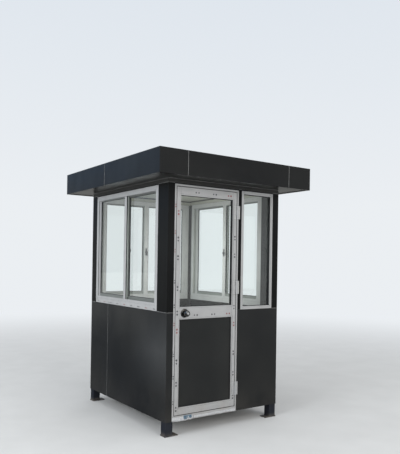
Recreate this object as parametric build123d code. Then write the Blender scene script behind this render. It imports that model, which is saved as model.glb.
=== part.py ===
from build123d import *
import os

# Security guard booth, in millimetres: +Z up, ground at Z = 0, the door in the -Y face.
# The origin lies on the ground in the middle of the plan.

# Driving sizes of the body, outside its cladding
body_length = 1200.0
body_depth = 1500.0
leg_height = 118.0
lower_wall_height = 896.0
window_height = 1058.0
head_band_height = 45.0

# Wall build-up
skin = 4.0
stud_depth = 50.0
lining_thickness = 4.0
tube_wall = 2.5
fold_radius = 3.0
joint_gap = 0.3
panel_reveal = 3.0

# Widths of the piers between a corner and the nearest opening
front_left_pier = 61.0
front_right_pier = 73.0
side_front_pier = 162.0
side_back_pier = 111.0
back_pier = 65.0

# Base
base_rail_height = 40.0
joist_width = 40.0
joist_count = 2
floor_thickness = 12.0
leg_tube = 70.0
leg_inset = 5.0
foot_length = 125.0
foot_width = 80.0
foot_thickness = 8.0
anchor_radius = 6.0
anchor_spacing = 46.0
anchor_edge = 22.0

# Roof
overhang = 205.0
fascia_height = 200.0
fascia_cap_width = 40.0
fascia_lip_width = 25.0
front_seam_left = 261.0
front_seam_right = 267.0
side_seam_from_front = 994.0
roof_beam_width = 40.0
roof_frame_height = 108.0
roof_joist_count = 3
deck_thickness = 1.5
deck_rib_height = 18.0
deck_rib_top = 26.0
deck_rib_foot = 50.0
deck_rib_count = 7
ceiling_bearing = 21.0
soffit_bearing = 27.0

# Cladding sheets
sheet_width = 1220.0
left_sheet_seam = 1109.0
trim_height = 34.0
trim_setback = 1.0
corner_top_rise = 8.0

# Sliding windows
frame_proud = 2.0
window_face = 44.0
window_frame_depth = 62.0
track_lip = 5.0
track_width = 24.0
jamb_track_depth = 14.0
head_track_depth = 22.0
sill_track_depth = 12.3
sash_insert = 12.0
sash_thickness = 22.0
stile_width = 50.0
top_rail_width = 54.0
bottom_rail_width = 62.0
weep_length = 30.0
weep_height = 5.0
weep_depth = 4.0
weep_rise = 13.0

# Glass and its grooves
glass_thickness = 5.0
groove_clearance = 0.3
groove_depth = 10.0
glass_insert = 8.0
bead_width = 11.0
bead_step = 3.0

# Fixed window beside the door
fixed_frame_face = 28.0
fixed_frame_depth = 50.0

# Door
door_frame_width = 664.0
door_post_width = 35.0
door_frame_face = 16.0
door_frame_depth = 60.0
door_gap = 5.0
stop_width = 12.0
stop_depth = 12.0
leaf_setback = 1.0
leaf_thickness = 42.0
door_stile_width = 42.0
door_top_rail = 68.0
door_mid_rail_low = 835.0
door_mid_rail = 104.0
door_bottom_rail = 62.0
kick_panel_thickness = 10.0
threshold_thickness = 3.0

# Hinges
hinge_height = 115.0
hinge_lowest = 96.0
hinge_highest = 118.5
hinge_spacing = 548.0
barrel_radius = 7.5
barrel_sink = 1.5
pin_radius = 3.0
pin_clearance = 0.08
hinge_plate_thickness = 2.5
leaf_plate_width = 34.0
frame_plate_width = 32.0
knuckle_gap = 0.4
knuckle_share = 3

# Knob set
knob_backset = 88.0
rose_radius = 37.0
rose_rim = 2.5
rose_shoulder = 10.0
rose_thickness = 7.0
knob_radius = 26.0
knob_neck_radius = 12.0
knob_neck_length = 20.0
knob_flare = 9.0
knob_rim = 12.0
knob_dome = 11.0
knob_face_radius = 12.0
rose_clearance = 0.3
spindle_hole_radius = 14.0

# Levels and planes worked out from the driving sizes
x_left = -body_length / 2
x_right = body_length / 2
y_front = -body_depth / 2
y_back = body_depth / 2
base_level = leg_height
rail_top = base_level + base_rail_height
sill_level = base_level + lower_wall_height
head_level = sill_level + window_height
soffit_level = head_level + head_band_height
fascia_bottom = soffit_level - skin
roof_top = fascia_bottom + fascia_height
wall_depth = skin + stud_depth + lining_thickness
x_door_left = x_left + front_left_pier
x_door_right = x_door_left + door_frame_width
x_fixed_left = x_door_right + door_post_width
x_fixed_right = x_right - front_right_pier


def block(x, y, z):
    """A box between the low and high value of each axis."""
    centre = Pos((x[0] + x[1]) / 2, (y[0] + y[1]) / 2, (z[0] + z[1]) / 2)
    return centre * Box(x[1] - x[0], y[1] - y[0], z[1] - z[0])


def square_tube(x, y, z, axis):
    """A rectangular steel tube, open at both ends along its axis."""
    spans = {Axis.X: x, Axis.Y: y, Axis.Z: z}
    inner = []
    for direction in (Axis.X, Axis.Y, Axis.Z):
        low, high = spans[direction]
        wall = 0.0 if direction == axis else tube_wall
        inner.append((low + wall, high - wall))
    return block(x, y, z) - block(*inner)


def write(node, solids):
    """One file for each node, holding its solids."""
    shape = solids[0] if len(solids) == 1 else Compound(children=list(solids))
    shape.label = node
    export_step(shape, f"parts/{node}.step")


def corners():
    """The four plan corners: name, outer corner point and the directions into the body."""
    yield "front_left", x_left, y_front, 1, 1
    yield "front_right", x_right, y_front, -1, 1
    yield "back_left", x_left, y_back, 1, -1
    yield "back_right", x_right, y_back, -1, -1


def pier_widths(name):
    """How far a corner pier runs along X and along Y."""
    if name.startswith("back"):
        return back_pier, side_back_pier
    if name == "front_left":
        return front_left_pier, side_front_pier
    return front_right_pier, side_front_pier


def span(start, direction, near, far):
    """Low and high value of a stretch that starts near to far from a point."""
    ends = (start + direction * near, start + direction * far)
    return min(ends), max(ends)


# Base: legs, rails, joists and floor


def foot_plate(x, y, in_x, in_y):
    """An anchor plate under a leg, whose free end points inwards along X."""
    plate = block(span(x, in_x, 0, foot_length), span(y, in_y, 0, foot_width), (0, foot_thickness))
    anchor_x = x + in_x * (foot_length - anchor_edge)
    anchor_y = y + in_y * foot_width / 2
    for side in (-1, 1):
        place = Pos(anchor_x, anchor_y + side * anchor_spacing / 2, foot_thickness / 2)
        plate -= place * Cylinder(anchor_radius, foot_thickness)
    return plate


def leg(x, y, in_x, in_y):
    """A square tube from the anchor plate to the base rails."""
    reach = leg_inset + leg_tube
    z = (foot_thickness, base_level)
    return square_tube(span(x, in_x, leg_inset, reach), span(y, in_y, leg_inset, reach), z, Axis.Z)


def base_frame():
    """Perimeter rails of square tube with joists between the two side rails."""
    z = (base_level, rail_top)
    x = (x_left + skin, x_right - skin)
    rails = []
    for edge, inwards in ((y_front, 1), (y_back, -1)):
        rails.append(square_tube(x, span(edge, inwards, skin, skin + stud_depth), z, Axis.X))
    inner_y = (y_front + skin + stud_depth + joint_gap, y_back - skin - stud_depth - joint_gap)
    for edge, inwards in ((x_left, 1), (x_right, -1)):
        rails.append(square_tube(span(edge, inwards, skin, skin + stud_depth), inner_y, z, Axis.Y))
    joist_x = (x_left + skin + stud_depth + joint_gap, x_right - skin - stud_depth - joint_gap)
    for place in range(joist_count):
        middle = inner_y[0] + (inner_y[1] - inner_y[0]) * (place + 1) / (joist_count + 1)
        rails.append(square_tube(joist_x, (middle - joist_width / 2, middle + joist_width / 2), z, Axis.X))
    return rails


def floor_board():
    """One board on the rails, notched round the four corner posts and the door post."""
    x = (x_left + wall_depth, x_right - wall_depth)
    y = (y_front + wall_depth + frame_proud, y_back - wall_depth)
    board = block(x, y, (rail_top, rail_top + floor_thickness))
    for name, corner_x, corner_y, in_x, in_y in corners():
        pier_x, pier_y = pier_widths(name)
        board -= block(
            span(corner_x, in_x, 0, pier_x + joint_gap),
            span(corner_y, in_y, 0, pier_y + joint_gap),
            (rail_top, rail_top + floor_thickness),
        )
    return board


# Walls: corner posts, door post, infill and lining


def corner_post(name, corner_x, corner_y, in_x, in_y):
    """A boxed steel pier from the base rail to the head."""
    pier_x, pier_y = pier_widths(name)
    return square_tube(
        span(corner_x, in_x, skin, pier_x), span(corner_y, in_y, skin, pier_y), (rail_top, head_level), Axis.Z
    )


def door_post():
    """The tube between the door and the fixed window."""
    y = span(y_front, 1, skin, skin + stud_depth)
    return square_tube((x_door_right, x_fixed_left), y, (rail_top, head_level), Axis.Z)


side_window_y = (y_front + side_front_pier, y_back - side_back_pier)
back_window_x = (x_left + back_pier, x_right - back_pier)


def wall_cores():
    """Foam-filled infill below the windows, between the posts."""
    z = (rail_top, sill_level)
    depth = (skin, skin + stud_depth)
    left = block(span(x_left, 1, *depth), side_window_y, z)
    right = block(span(x_right, -1, *depth), side_window_y, z)
    back = block(back_window_x, span(y_back, -1, *depth), z)
    front = block((x_fixed_left, x_fixed_right), span(y_front, 1, *depth), z)
    return [left, right, back, front]


def wall_lining():
    """Inner sheets over the infill, from the floor to the sill."""
    z = (rail_top + floor_thickness, sill_level)
    depth = (skin + stud_depth, wall_depth)
    left = block(span(x_left, 1, *depth), side_window_y, z)
    right = block(span(x_right, -1, *depth), side_window_y, z)
    back = block(back_window_x, span(y_back, -1, *depth), z)
    front = block((x_fixed_left, x_fixed_right), span(y_front, 1, *depth), z)
    return [left, right, back, front]


def top_frame():
    """Ring beams on the posts, which carry the roof box."""
    z = (head_level, soffit_level)
    x = (x_left + skin, x_right - skin)
    beams = []
    for edge, inwards in ((y_front, 1), (y_back, -1)):
        beams.append(square_tube(x, span(edge, inwards, skin, skin + stud_depth), z, Axis.X))
    inner_y = (y_front + skin + stud_depth + joint_gap, y_back - skin - stud_depth - joint_gap)
    for edge, inwards in ((x_left, 1), (x_right, -1)):
        beams.append(square_tube(span(edge, inwards, skin, skin + stud_depth), inner_y, z, Axis.Y))
    return beams


# Composite cladding, folded round the corners


def folded_corner(corner_x, corner_y, in_x, in_y, run_x, run_y, z):
    """A sheet folded once, with the fold at the given outer corner."""
    sheet = block(span(corner_x, in_x, 0, run_x), span(corner_y, in_y, 0, skin), z)
    sheet += block(span(corner_x, in_x, 0, skin), span(corner_y, in_y, 0, run_y), z)
    middle = (corner_x, corner_y, (z[0] + z[1]) / 2)
    fold = sheet.edges().filter_by(Axis.Z).sort_by_distance(middle)[0]
    return fillet(fold, fold_radius)


def lower_panels():
    """Four folded sheets round the foot of the body, with their seams away from the corners."""
    z = (base_level, sill_level - panel_reveal)
    half = joint_gap
    left_back_run = body_depth - left_sheet_seam
    back_left_run = sheet_width - left_back_run
    front_right_run = x_right - x_door_right
    right_front_run = sheet_width - front_right_run
    right_back_run = body_depth - right_front_run
    back_right_run = body_length - back_left_run
    runs = {
        "front_left": (front_left_pier, left_sheet_seam - half),
        "front_right": (front_right_run, right_front_run - half),
        "back_left": (back_left_run - half, left_back_run - half),
        "back_right": (back_right_run - half, right_back_run - half),
    }
    panels = {}
    for name, corner_x, corner_y, in_x, in_y in corners():
        run_x, run_y = runs[name]
        panels[name] = folded_corner(corner_x, corner_y, in_x, in_y, run_x, run_y, z)
    return panels


def corner_cladding():
    """Folded sheets round the four piers above the sill, and the flat strip on the door post."""
    z = (sill_level, head_level + corner_top_rise)
    pieces = []
    for name, corner_x, corner_y, in_x, in_y in corners():
        pier_x, pier_y = pier_widths(name)
        pieces.append(folded_corner(corner_x, corner_y, in_x, in_y, pier_x, pier_y, z))
    pieces.append(block((x_door_right, x_fixed_left), span(y_front, 1, 0, skin), z))
    return pieces


def head_trim():
    """Flat strips on the ring beams, just under the soffit."""
    z = (soffit_level - trim_height, soffit_level)
    near = trim_setback
    strips = []
    for edge, inwards in ((y_front, 1), (y_back, -1)):
        strips.append(block((x_left + near, x_right - near), span(edge, inwards, near, skin), z))
    inner_y = (y_front + skin + joint_gap, y_back - skin - joint_gap)
    for edge, inwards in ((x_left, 1), (x_right, -1)):
        strips.append(block(span(edge, inwards, near, skin), inner_y, z))
    return strips


# Roof box: soffit, ceiling, fascia, frame and deck

x_roof = body_length / 2 + overhang
y_roof = body_depth / 2 + overhang


def ceiling():
    """The sheet inside the ring beams' inner half."""
    reach_x = body_length / 2 - skin - stud_depth + ceiling_bearing
    reach_y = body_depth / 2 - skin - stud_depth + ceiling_bearing
    return block((-reach_x, reach_x), (-reach_y, reach_y), (soffit_level, soffit_level + skin))


def soffit():
    """Four sheets under the overhang, from the ring beams to the fascia's lip."""
    z = (soffit_level, soffit_level + skin)
    inner_x = body_length / 2 - skin - soffit_bearing
    inner_y = body_depth / 2 - skin - soffit_bearing
    outer_x = x_roof - skin - joint_gap
    outer_y = y_roof - skin - joint_gap
    sheets = []
    for side in (-1, 1):
        sheets.append(block((-outer_x, outer_x), span(0, side, inner_y, outer_y), z))
    for side in (-1, 1):
        sheets.append(block(span(0, side, inner_x, outer_x), (-inner_y + joint_gap, inner_y - joint_gap), z))
    return sheets


def fascia():
    """The folded edge of the roof, cut into four corner pieces and two straight ones."""
    z = (fascia_bottom, roof_top)
    ring = block((-x_roof, x_roof), (-y_roof, y_roof), z)
    ring = fillet(ring.edges().filter_by(Axis.Z), fold_radius)
    inside_x = x_roof - skin
    inside_y = y_roof - skin
    ring -= block((-inside_x, inside_x), (-inside_y, inside_y), (z[0] + skin, z[1] - skin))
    for width, level in ((fascia_lip_width, (z[0], z[0] + skin)), (fascia_cap_width, (z[1] - skin, z[1]))):
        hole_x = x_roof - width
        hole_y = y_roof - width
        ring -= block((-hole_x, hole_x), (-hole_y, hole_y), level)
    half = panel_reveal / 2
    across = (-y_roof, y_roof)
    for seam_x, side in ((-x_roof + front_seam_left, -1), (x_roof - front_seam_right, -1)):
        ring -= block((seam_x - half, seam_x + half), span(0, side, 0, y_roof), z)
        ring -= block((-seam_x - half, -seam_x + half), span(0, -side, 0, y_roof), z)
    side_seam = -y_roof + side_seam_from_front
    ring -= block((-x_roof, x_roof), (side_seam - half, side_seam + half), z)
    pieces = ring.solids()
    straight = [piece for piece in pieces if abs(piece.center().X) < back_window_x[1] / 2]
    folded = [piece for piece in pieces if abs(piece.center().X) >= back_window_x[1] / 2]
    straight = sorted(straight, key=lambda piece: piece.center().Y)
    return straight[0], straight[1], folded


def roof_frame():
    """Edge beams inside the fascia and joists across the roof box."""
    z = (soffit_level + skin, soffit_level + skin + roof_frame_height)
    reach_x = x_roof - skin - joint_gap
    reach_y = y_roof - skin - joint_gap
    beams = []
    for side in (-1, 1):
        y = span(0, side, reach_y - roof_beam_width, reach_y)
        beams.append(square_tube((-reach_x, reach_x), y, z, Axis.X))
    inner_y = reach_y - roof_beam_width - joint_gap
    for side in (-1, 1):
        x = span(0, side, reach_x - roof_beam_width, reach_x)
        beams.append(square_tube(x, (-inner_y, inner_y), z, Axis.Y))
    inner_x = reach_x - roof_beam_width - joint_gap
    for place in range(roof_joist_count):
        middle = -inner_y + 2 * inner_y * (place + 1) / (roof_joist_count + 1)
        y = (middle - roof_beam_width / 2, middle + roof_beam_width / 2)
        beams.append(square_tube((-inner_x, inner_x), y, z, Axis.X))
    return beams


def roof_deck():
    """Trapezoidal sheet on the roof frame, with its ribs along Y."""
    low = soffit_level + skin + roof_frame_height
    reach_x = x_roof - skin - joint_gap
    reach_y = y_roof - skin - joint_gap
    pitch = 2 * reach_x / deck_rib_count
    upper = [(-reach_x, low + deck_thickness)]
    lower = [(-reach_x, low)]
    slope = (deck_rib_foot - deck_rib_top) / 2
    for place in range(deck_rib_count):
        middle = -reach_x + pitch * place + pitch / 2
        for x, rise in (
            (middle - deck_rib_foot / 2, 0.0),
            (middle - deck_rib_foot / 2 + slope, deck_rib_height),
            (middle + deck_rib_foot / 2 - slope, deck_rib_height),
            (middle + deck_rib_foot / 2, 0.0),
        ):
            upper.append((x, low + deck_thickness + rise))
            lower.append((x, low + rise))
    upper.append((reach_x, low + deck_thickness))
    lower.append((reach_x, low))
    outline = make_face(Plane.XZ * Polyline(*upper, *reversed(lower), close=True))
    return Pos(0, reach_y, 0) * extrude(outline, amount=2 * reach_y, dir=(0, -1, 0))


# Windows, drawn with X along the wall, Y into the building from the cladding face and Z up


def glazing_groove(x, y_middle, z, thickness):
    """The slot that a pane or panel sits in."""
    half = thickness / 2 + groove_clearance
    return block(x, (y_middle - half, y_middle + half), z)


def outline_bar(points, y):
    """A bar with the given outline in X and Z and its sides square to Y."""
    outline = make_face(Plane.XZ * Polyline(*points, close=True))
    return Pos(0, y[1], 0) * extrude(outline, amount=y[1] - y[0], dir=(0, -1, 0))


def mitred_frame(x, z, y, face):
    """Four bars cut at 45 degrees, with a hairline joint at each corner."""
    inner_x = (x[0] + face, x[1] - face)
    inner_z = (z[0] + face, z[1] - face)
    gap = joint_gap
    return [
        outline_bar([(x[0], z[0]), (inner_x[0], inner_z[0]), (inner_x[0], inner_z[1]), (x[0], z[1])], y),
        outline_bar([(x[1], z[0]), (inner_x[1], inner_z[0]), (inner_x[1], inner_z[1]), (x[1], z[1])], y),
        outline_bar(
            [
                (x[0] + gap, z[1]),
                (inner_x[0] + gap, inner_z[1]),
                (inner_x[1] - gap, inner_z[1]),
                (x[1] - gap, z[1]),
            ],
            y,
        ),
        outline_bar(
            [
                (x[0] + gap, z[0]),
                (inner_x[0] + gap, inner_z[0]),
                (inner_x[1] - gap, inner_z[0]),
                (x[1] - gap, z[0]),
            ],
            y,
        ),
    ]


def bead_steps(x, z, depth):
    """The shallow steps of the glazing beads round a field, on both faces."""
    step_x = (x[0] - bead_width, x[1] + bead_width)
    step_z = (z[0] - bead_width, z[1] + bead_width)
    outer = block(step_x, (depth[0], depth[0] + bead_step), step_z)
    inner = block(step_x, (depth[1] - bead_step, depth[1]), step_z)
    return [outer, inner]


def framed_pane(x, z, depth, widths, thickness):
    """Two stiles and two rails round a pane. Widths are stile, top rail and bottom rail."""
    stile, top, bottom = widths
    middle = (depth[0] + depth[1]) / 2
    inner_x = (x[0] + stile, x[1] - stile)
    inner_z = (z[0] + bottom, z[1] - top)
    slot_x = (inner_x[0] - groove_depth, inner_x[1] + groove_depth)
    slot_z = (inner_z[0] - groove_depth, inner_z[1] + groove_depth)
    cuts = [glazing_groove(slot_x, middle, slot_z, thickness), *bead_steps(inner_x, inner_z, depth)]
    rail_x = (inner_x[0] + joint_gap, inner_x[1] - joint_gap)
    bars = [
        block((x[0], inner_x[0]), depth, z),
        block((inner_x[1], x[1]), depth, z),
        block(rail_x, depth, (inner_z[1], z[1])),
        block(rail_x, depth, (z[0], inner_z[0])),
    ]
    bars = [bar - cuts for bar in bars]
    pane = block(
        (inner_x[0] - glass_insert, inner_x[1] + glass_insert),
        (middle - thickness / 2, middle + thickness / 2),
        (inner_z[0] - glass_insert, inner_z[1] + glass_insert),
    )
    return bars, pane


def sliding_window(width, outer_side):
    """Two-track frame, two sashes and their panes, centred on X = 0 with the sill at Z = 0."""
    depth = (-frame_proud, window_frame_depth - frame_proud)
    outer_track = depth[0] + track_lip + track_width / 2
    inner_track = depth[1] - track_lip - track_width / 2
    half = width / 2
    clear_x = half - window_face
    clear_z = (window_face, window_height - window_face)
    cuts = []
    for track in (outer_track, inner_track):
        y = (track - track_width / 2, track + track_width / 2)
        reach = clear_x + jamb_track_depth
        cuts.append(block((-reach, reach), y, (clear_z[0] - sill_track_depth, clear_z[1] + head_track_depth)))
    for side in (-1, 1):
        weep_x = span(0, side, half / 2 - weep_length / 2, half / 2 + weep_length / 2)
        cuts.append(block(weep_x, (depth[0], depth[0] + weep_depth), (weep_rise, weep_rise + weep_height)))
    frame = [bar - cuts for bar in mitred_frame((-half, half), (0, window_height), depth, window_face)]
    sashes = []
    panes = []
    z = (clear_z[0] - sash_insert, clear_z[1] + sash_insert)
    for side, track in ((outer_side, outer_track), (-outer_side, inner_track)):
        x = span(0, side, -stile_width / 2, clear_x + sash_insert)
        y = (track - sash_thickness / 2, track + sash_thickness / 2)
        bars, pane = framed_pane(x, z, y, (stile_width, top_rail_width, bottom_rail_width), glass_thickness)
        sashes.extend(bars)
        panes.append(pane)
    return frame, sashes, panes


def placed(shapes, location):
    return [location * shape for shape in shapes]


side_window_width = side_window_y[1] - side_window_y[0]
side_window_middle = (side_window_y[0] + side_window_y[1]) / 2
window_places = {
    "left": (Pos(x_left, side_window_middle, sill_level) * Rot(0, 0, -90), side_window_width, -1),
    "right": (Pos(x_right, side_window_middle, sill_level) * Rot(0, 0, 90), side_window_width, 1),
    "back": (Pos(0, y_back, sill_level) * Rot(0, 0, 180), back_window_x[1] - back_window_x[0], 1),
}


def fixed_window():
    """The narrow fixed light beside the door."""
    depth = (y_front - frame_proud, y_front - frame_proud + fixed_frame_depth)
    widths = (fixed_frame_face, fixed_frame_face, fixed_frame_face)
    return framed_pane(
        (x_fixed_left, x_fixed_right), (sill_level, head_level), depth, widths, glass_thickness
    )


# Door frame, threshold and stops

threshold_top = rail_top + threshold_thickness
frame_front = y_front - frame_proud
frame_back = frame_front + door_frame_depth
x_clear_left = x_door_left + door_frame_face
x_clear_right = x_door_right - door_frame_face
z_clear = head_level - door_frame_face


def door_frame():
    """Two jambs on the threshold, with the head between them."""
    y = (frame_front, frame_back)
    z = (threshold_top, head_level)
    left = outline_bar(
        [(x_door_left, z[0]), (x_clear_left, z[0]), (x_clear_left, z_clear), (x_door_left, z[1])], y
    )
    right = outline_bar(
        [(x_door_right, z[0]), (x_clear_right, z[0]), (x_clear_right, z_clear), (x_door_right, z[1])], y
    )
    head = outline_bar(
        [
            (x_door_left + joint_gap, z[1]),
            (x_clear_left + joint_gap, z_clear),
            (x_clear_right - joint_gap, z_clear),
            (x_door_right - joint_gap, z[1]),
        ],
        y,
    )
    return [left, right, head]


def door_stops():
    """Bars inside the frame that the leaf closes against."""
    y = (frame_back - stop_depth, frame_back)
    z = (threshold_top, z_clear)
    left = block((x_clear_left, x_clear_left + stop_width), y, z)
    right = block((x_clear_right - stop_width, x_clear_right), y, z)
    x = (x_clear_left + stop_width + joint_gap, x_clear_right - stop_width - joint_gap)
    head = block(x, y, (z_clear - stop_width, z_clear))
    return [left, right, head]


def door_threshold():
    """A folded cover over the base rail across the doorway."""
    x = (x_door_left, x_door_right)
    face = block(x, (frame_front, y_front + skin), (base_level, threshold_top))
    top = block(x, (y_front + skin, frame_back), (rail_top, threshold_top))
    cover = face + top
    nose = cover.edges().filter_by(Axis.X).sort_by_distance((0, frame_front, threshold_top))[0]
    return fillet(nose, frame_proud)


# Door leaf

leaf_y = (frame_front + leaf_setback, frame_front + leaf_setback + leaf_thickness)
leaf_middle = (leaf_y[0] + leaf_y[1]) / 2
leaf_x = (x_clear_left + door_gap, x_clear_right - door_gap)
leaf_z = (threshold_top + door_gap, z_clear - door_gap)
mid_rail_z = (base_level + door_mid_rail_low, base_level + door_mid_rail_low + door_mid_rail)
field_x = (leaf_x[0] + door_stile_width, leaf_x[1] - door_stile_width)
knob_x = leaf_x[0] + knob_backset
knob_z = (mid_rail_z[0] + mid_rail_z[1]) / 2


def across_door(radius, y):
    """A round bar or hole along Y at the knob."""
    return Pos(knob_x, (y[0] + y[1]) / 2, knob_z) * Rot(90, 0, 0) * Cylinder(radius, y[1] - y[0])


def door_leaf():
    """Stiles and rails, grooved for the pane above the mid rail and the panel below it."""
    pane_z = (mid_rail_z[1], leaf_z[1] - door_top_rail)
    panel_z = (leaf_z[0] + door_bottom_rail, mid_rail_z[0])
    slot_x = (field_x[0] - groove_depth, field_x[1] + groove_depth)
    cuts = []
    fills = []
    for z, thickness in ((pane_z, glass_thickness), (panel_z, kick_panel_thickness)):
        slot_z = (z[0] - groove_depth, z[1] + groove_depth)
        cuts.append(glazing_groove(slot_x, leaf_middle, slot_z, thickness))
        cuts.extend(bead_steps(field_x, z, leaf_y))
        half = thickness / 2
        fills.append(
            block(
                (field_x[0] - glass_insert, field_x[1] + glass_insert),
                (leaf_middle - half, leaf_middle + half),
                (z[0] - glass_insert, z[1] + glass_insert),
            )
        )
    rail_x = (field_x[0] + joint_gap, field_x[1] - joint_gap)
    bars = [
        block((leaf_x[0], field_x[0]), leaf_y, leaf_z),
        block((field_x[1], leaf_x[1]), leaf_y, leaf_z),
        block(rail_x, leaf_y, (leaf_z[1] - door_top_rail, leaf_z[1])),
        block(rail_x, leaf_y, mid_rail_z) - across_door(spindle_hole_radius, leaf_y),
        block(rail_x, leaf_y, (leaf_z[0], leaf_z[0] + door_bottom_rail)),
    ]
    return [bar - cuts for bar in bars], fills[0], fills[1]


# Hinges

hinge_x = x_clear_right - door_gap / 2
hinge_y = frame_front - hinge_plate_thickness - barrel_radius + barrel_sink


def barrel(low, high, radius):
    return Pos(hinge_x, hinge_y, (low + high) / 2) * Cylinder(radius, high - low)


def hinge_pair(low):
    """The leaf's half and the frame's half of one hinge, with the pin in the frame's half."""
    knuckle = hinge_height / knuckle_share
    bottom = (low, low + knuckle - knuckle_gap)
    middle = (low + knuckle, low + 2 * knuckle)
    top = (low + 2 * knuckle + knuckle_gap, low + hinge_height)
    frame_y = (frame_front - hinge_plate_thickness, frame_front)
    leaf_plate_y = (leaf_y[0] - hinge_plate_thickness, leaf_y[0])
    side = barrel_radius + knuckle_gap
    frame_half = block((hinge_x + side, hinge_x + frame_plate_width), frame_y, (low, low + hinge_height))
    leaf_half = block((hinge_x - leaf_plate_width, hinge_x - side), leaf_plate_y, (low, low + hinge_height))
    for z in (bottom, top):
        frame_half += block((hinge_x, hinge_x + side), frame_y, z)
        frame_half += barrel(*z, barrel_radius)
    leaf_half += block((hinge_x - side, hinge_x), leaf_plate_y, middle)
    leaf_half += barrel(*middle, barrel_radius)
    leaf_half -= barrel(*middle, pin_radius + pin_clearance)
    frame_half += barrel(low, low + hinge_height, pin_radius)
    return leaf_half, frame_half


def hinges():
    """Three hinges: two in the upper half of the leaf and one near its foot."""
    top = leaf_z[1] - hinge_highest - hinge_height
    levels = (leaf_z[0] + hinge_lowest, top - hinge_spacing - hinge_height, top)
    leaf_halves = []
    frame_halves = []
    for level in levels:
        leaf_half, frame_half = hinge_pair(level)
        leaf_halves.append(leaf_half)
        frame_halves.append(frame_half)
    return leaf_halves, frame_halves


# Knob set


def turned(points, outwards):
    """A solid of revolution about the knob's axis. Points are radius and distance from the leaf's middle."""
    outline = make_face(Plane.XY * Polyline(*points, close=True))
    body = revolve(outline, Axis.Y)
    if outwards < 0:
        body = mirror(body, Plane.XZ)
    return Pos(knob_x, leaf_middle, knob_z) * body


def knob_roses():
    """A dished rose on each face of the mid rail, bored for the knob's neck."""
    face = leaf_thickness / 2
    bore = knob_neck_radius + rose_clearance
    points = [
        (bore, face),
        (rose_radius, face),
        (rose_radius, face + rose_rim),
        (rose_radius - rose_shoulder, face + rose_thickness),
        (bore, face + rose_thickness),
    ]
    return [turned(points, -1), turned(points, 1)]


def door_knob():
    """Both round knobs, in one piece with the spindle tube between them."""
    face = leaf_thickness / 2
    neck = face + rose_thickness + knob_neck_length
    rim = neck + knob_flare
    shoulder = rim + knob_rim
    dome = shoulder + knob_dome
    points = [
        (0, 0),
        (knob_neck_radius, 0),
        (knob_neck_radius, neck),
        (knob_radius, rim),
        (knob_radius, shoulder),
        (knob_face_radius, dome),
        (0, dome),
    ]
    return turned(points, -1) + turned(points, 1)


def main():
    os.makedirs("parts", exist_ok=True)
    write("base_frame", base_frame())
    write("floor_board", [floor_board()])
    write("foot_plates", [foot_plate(x, y, in_x, in_y) for name, x, y, in_x, in_y in corners()])
    write("legs", [leg(x, y, in_x, in_y) for name, x, y, in_x, in_y in corners()])
    for corner in corners():
        write(f"{corner[0]}_post", [corner_post(*corner)])
    write("door_post", [door_post()])
    write("wall_cores", wall_cores())
    write("wall_lining", wall_lining())
    write("top_frame", top_frame())
    for name, panel in lower_panels().items():
        write(f"{name}_panel", [panel])
    write("corner_cladding", corner_cladding())
    write("head_trim", head_trim())
    write("ceiling", [ceiling()])
    write("soffit", soffit())
    fascia_front, fascia_back, fascia_corners = fascia()
    write("fascia_front", [fascia_front])
    write("fascia_back", [fascia_back])
    write("fascia_corners", fascia_corners)
    write("roof_frame", roof_frame())
    write("roof_deck", [roof_deck()])
    for wall, (location, width, outer_side) in window_places.items():
        frame, sashes, panes = sliding_window(width, outer_side)
        write(f"{wall}_window_frame", placed(frame, location))
        write(f"{wall}_window_sashes", placed(sashes, location))
        write(f"{wall}_window_glass", placed(panes, location))
    fixed_frame, fixed_pane = fixed_window()
    write("front_window_frame", fixed_frame)
    write("front_window_glass", [fixed_pane])
    write("door_frame", door_frame())
    write("door_stops", door_stops())
    write("door_threshold", [door_threshold()])
    leaf_bars, door_pane, kick_panel = door_leaf()
    write("door_leaf", leaf_bars)
    write("door_glass", [door_pane])
    write("door_kick_panel", [kick_panel])
    leaf_halves, frame_halves = hinges()
    write("leaf_hinges", leaf_halves)
    write("frame_hinges", frame_halves)
    write("knob_roses", knob_roses())
    write("door_knob", [door_knob()])


main()
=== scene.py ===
import math
import random

import bmesh
import bpy
from mathutils import Matrix, Vector


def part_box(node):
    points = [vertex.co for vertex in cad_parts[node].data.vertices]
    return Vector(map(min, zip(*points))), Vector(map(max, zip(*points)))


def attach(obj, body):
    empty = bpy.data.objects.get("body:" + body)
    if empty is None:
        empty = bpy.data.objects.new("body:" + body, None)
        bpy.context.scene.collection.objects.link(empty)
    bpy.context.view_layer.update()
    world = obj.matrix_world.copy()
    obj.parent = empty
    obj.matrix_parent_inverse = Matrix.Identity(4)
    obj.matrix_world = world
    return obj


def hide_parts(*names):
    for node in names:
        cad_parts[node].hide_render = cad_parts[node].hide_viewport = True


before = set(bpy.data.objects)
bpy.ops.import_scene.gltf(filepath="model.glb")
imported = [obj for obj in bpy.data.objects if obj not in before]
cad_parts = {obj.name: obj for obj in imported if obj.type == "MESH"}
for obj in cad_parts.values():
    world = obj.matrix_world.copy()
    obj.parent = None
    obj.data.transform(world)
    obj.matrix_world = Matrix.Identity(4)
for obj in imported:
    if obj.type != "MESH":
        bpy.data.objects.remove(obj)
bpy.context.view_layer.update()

scene = bpy.context.scene
scene.view_settings.view_transform = "Standard"


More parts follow.
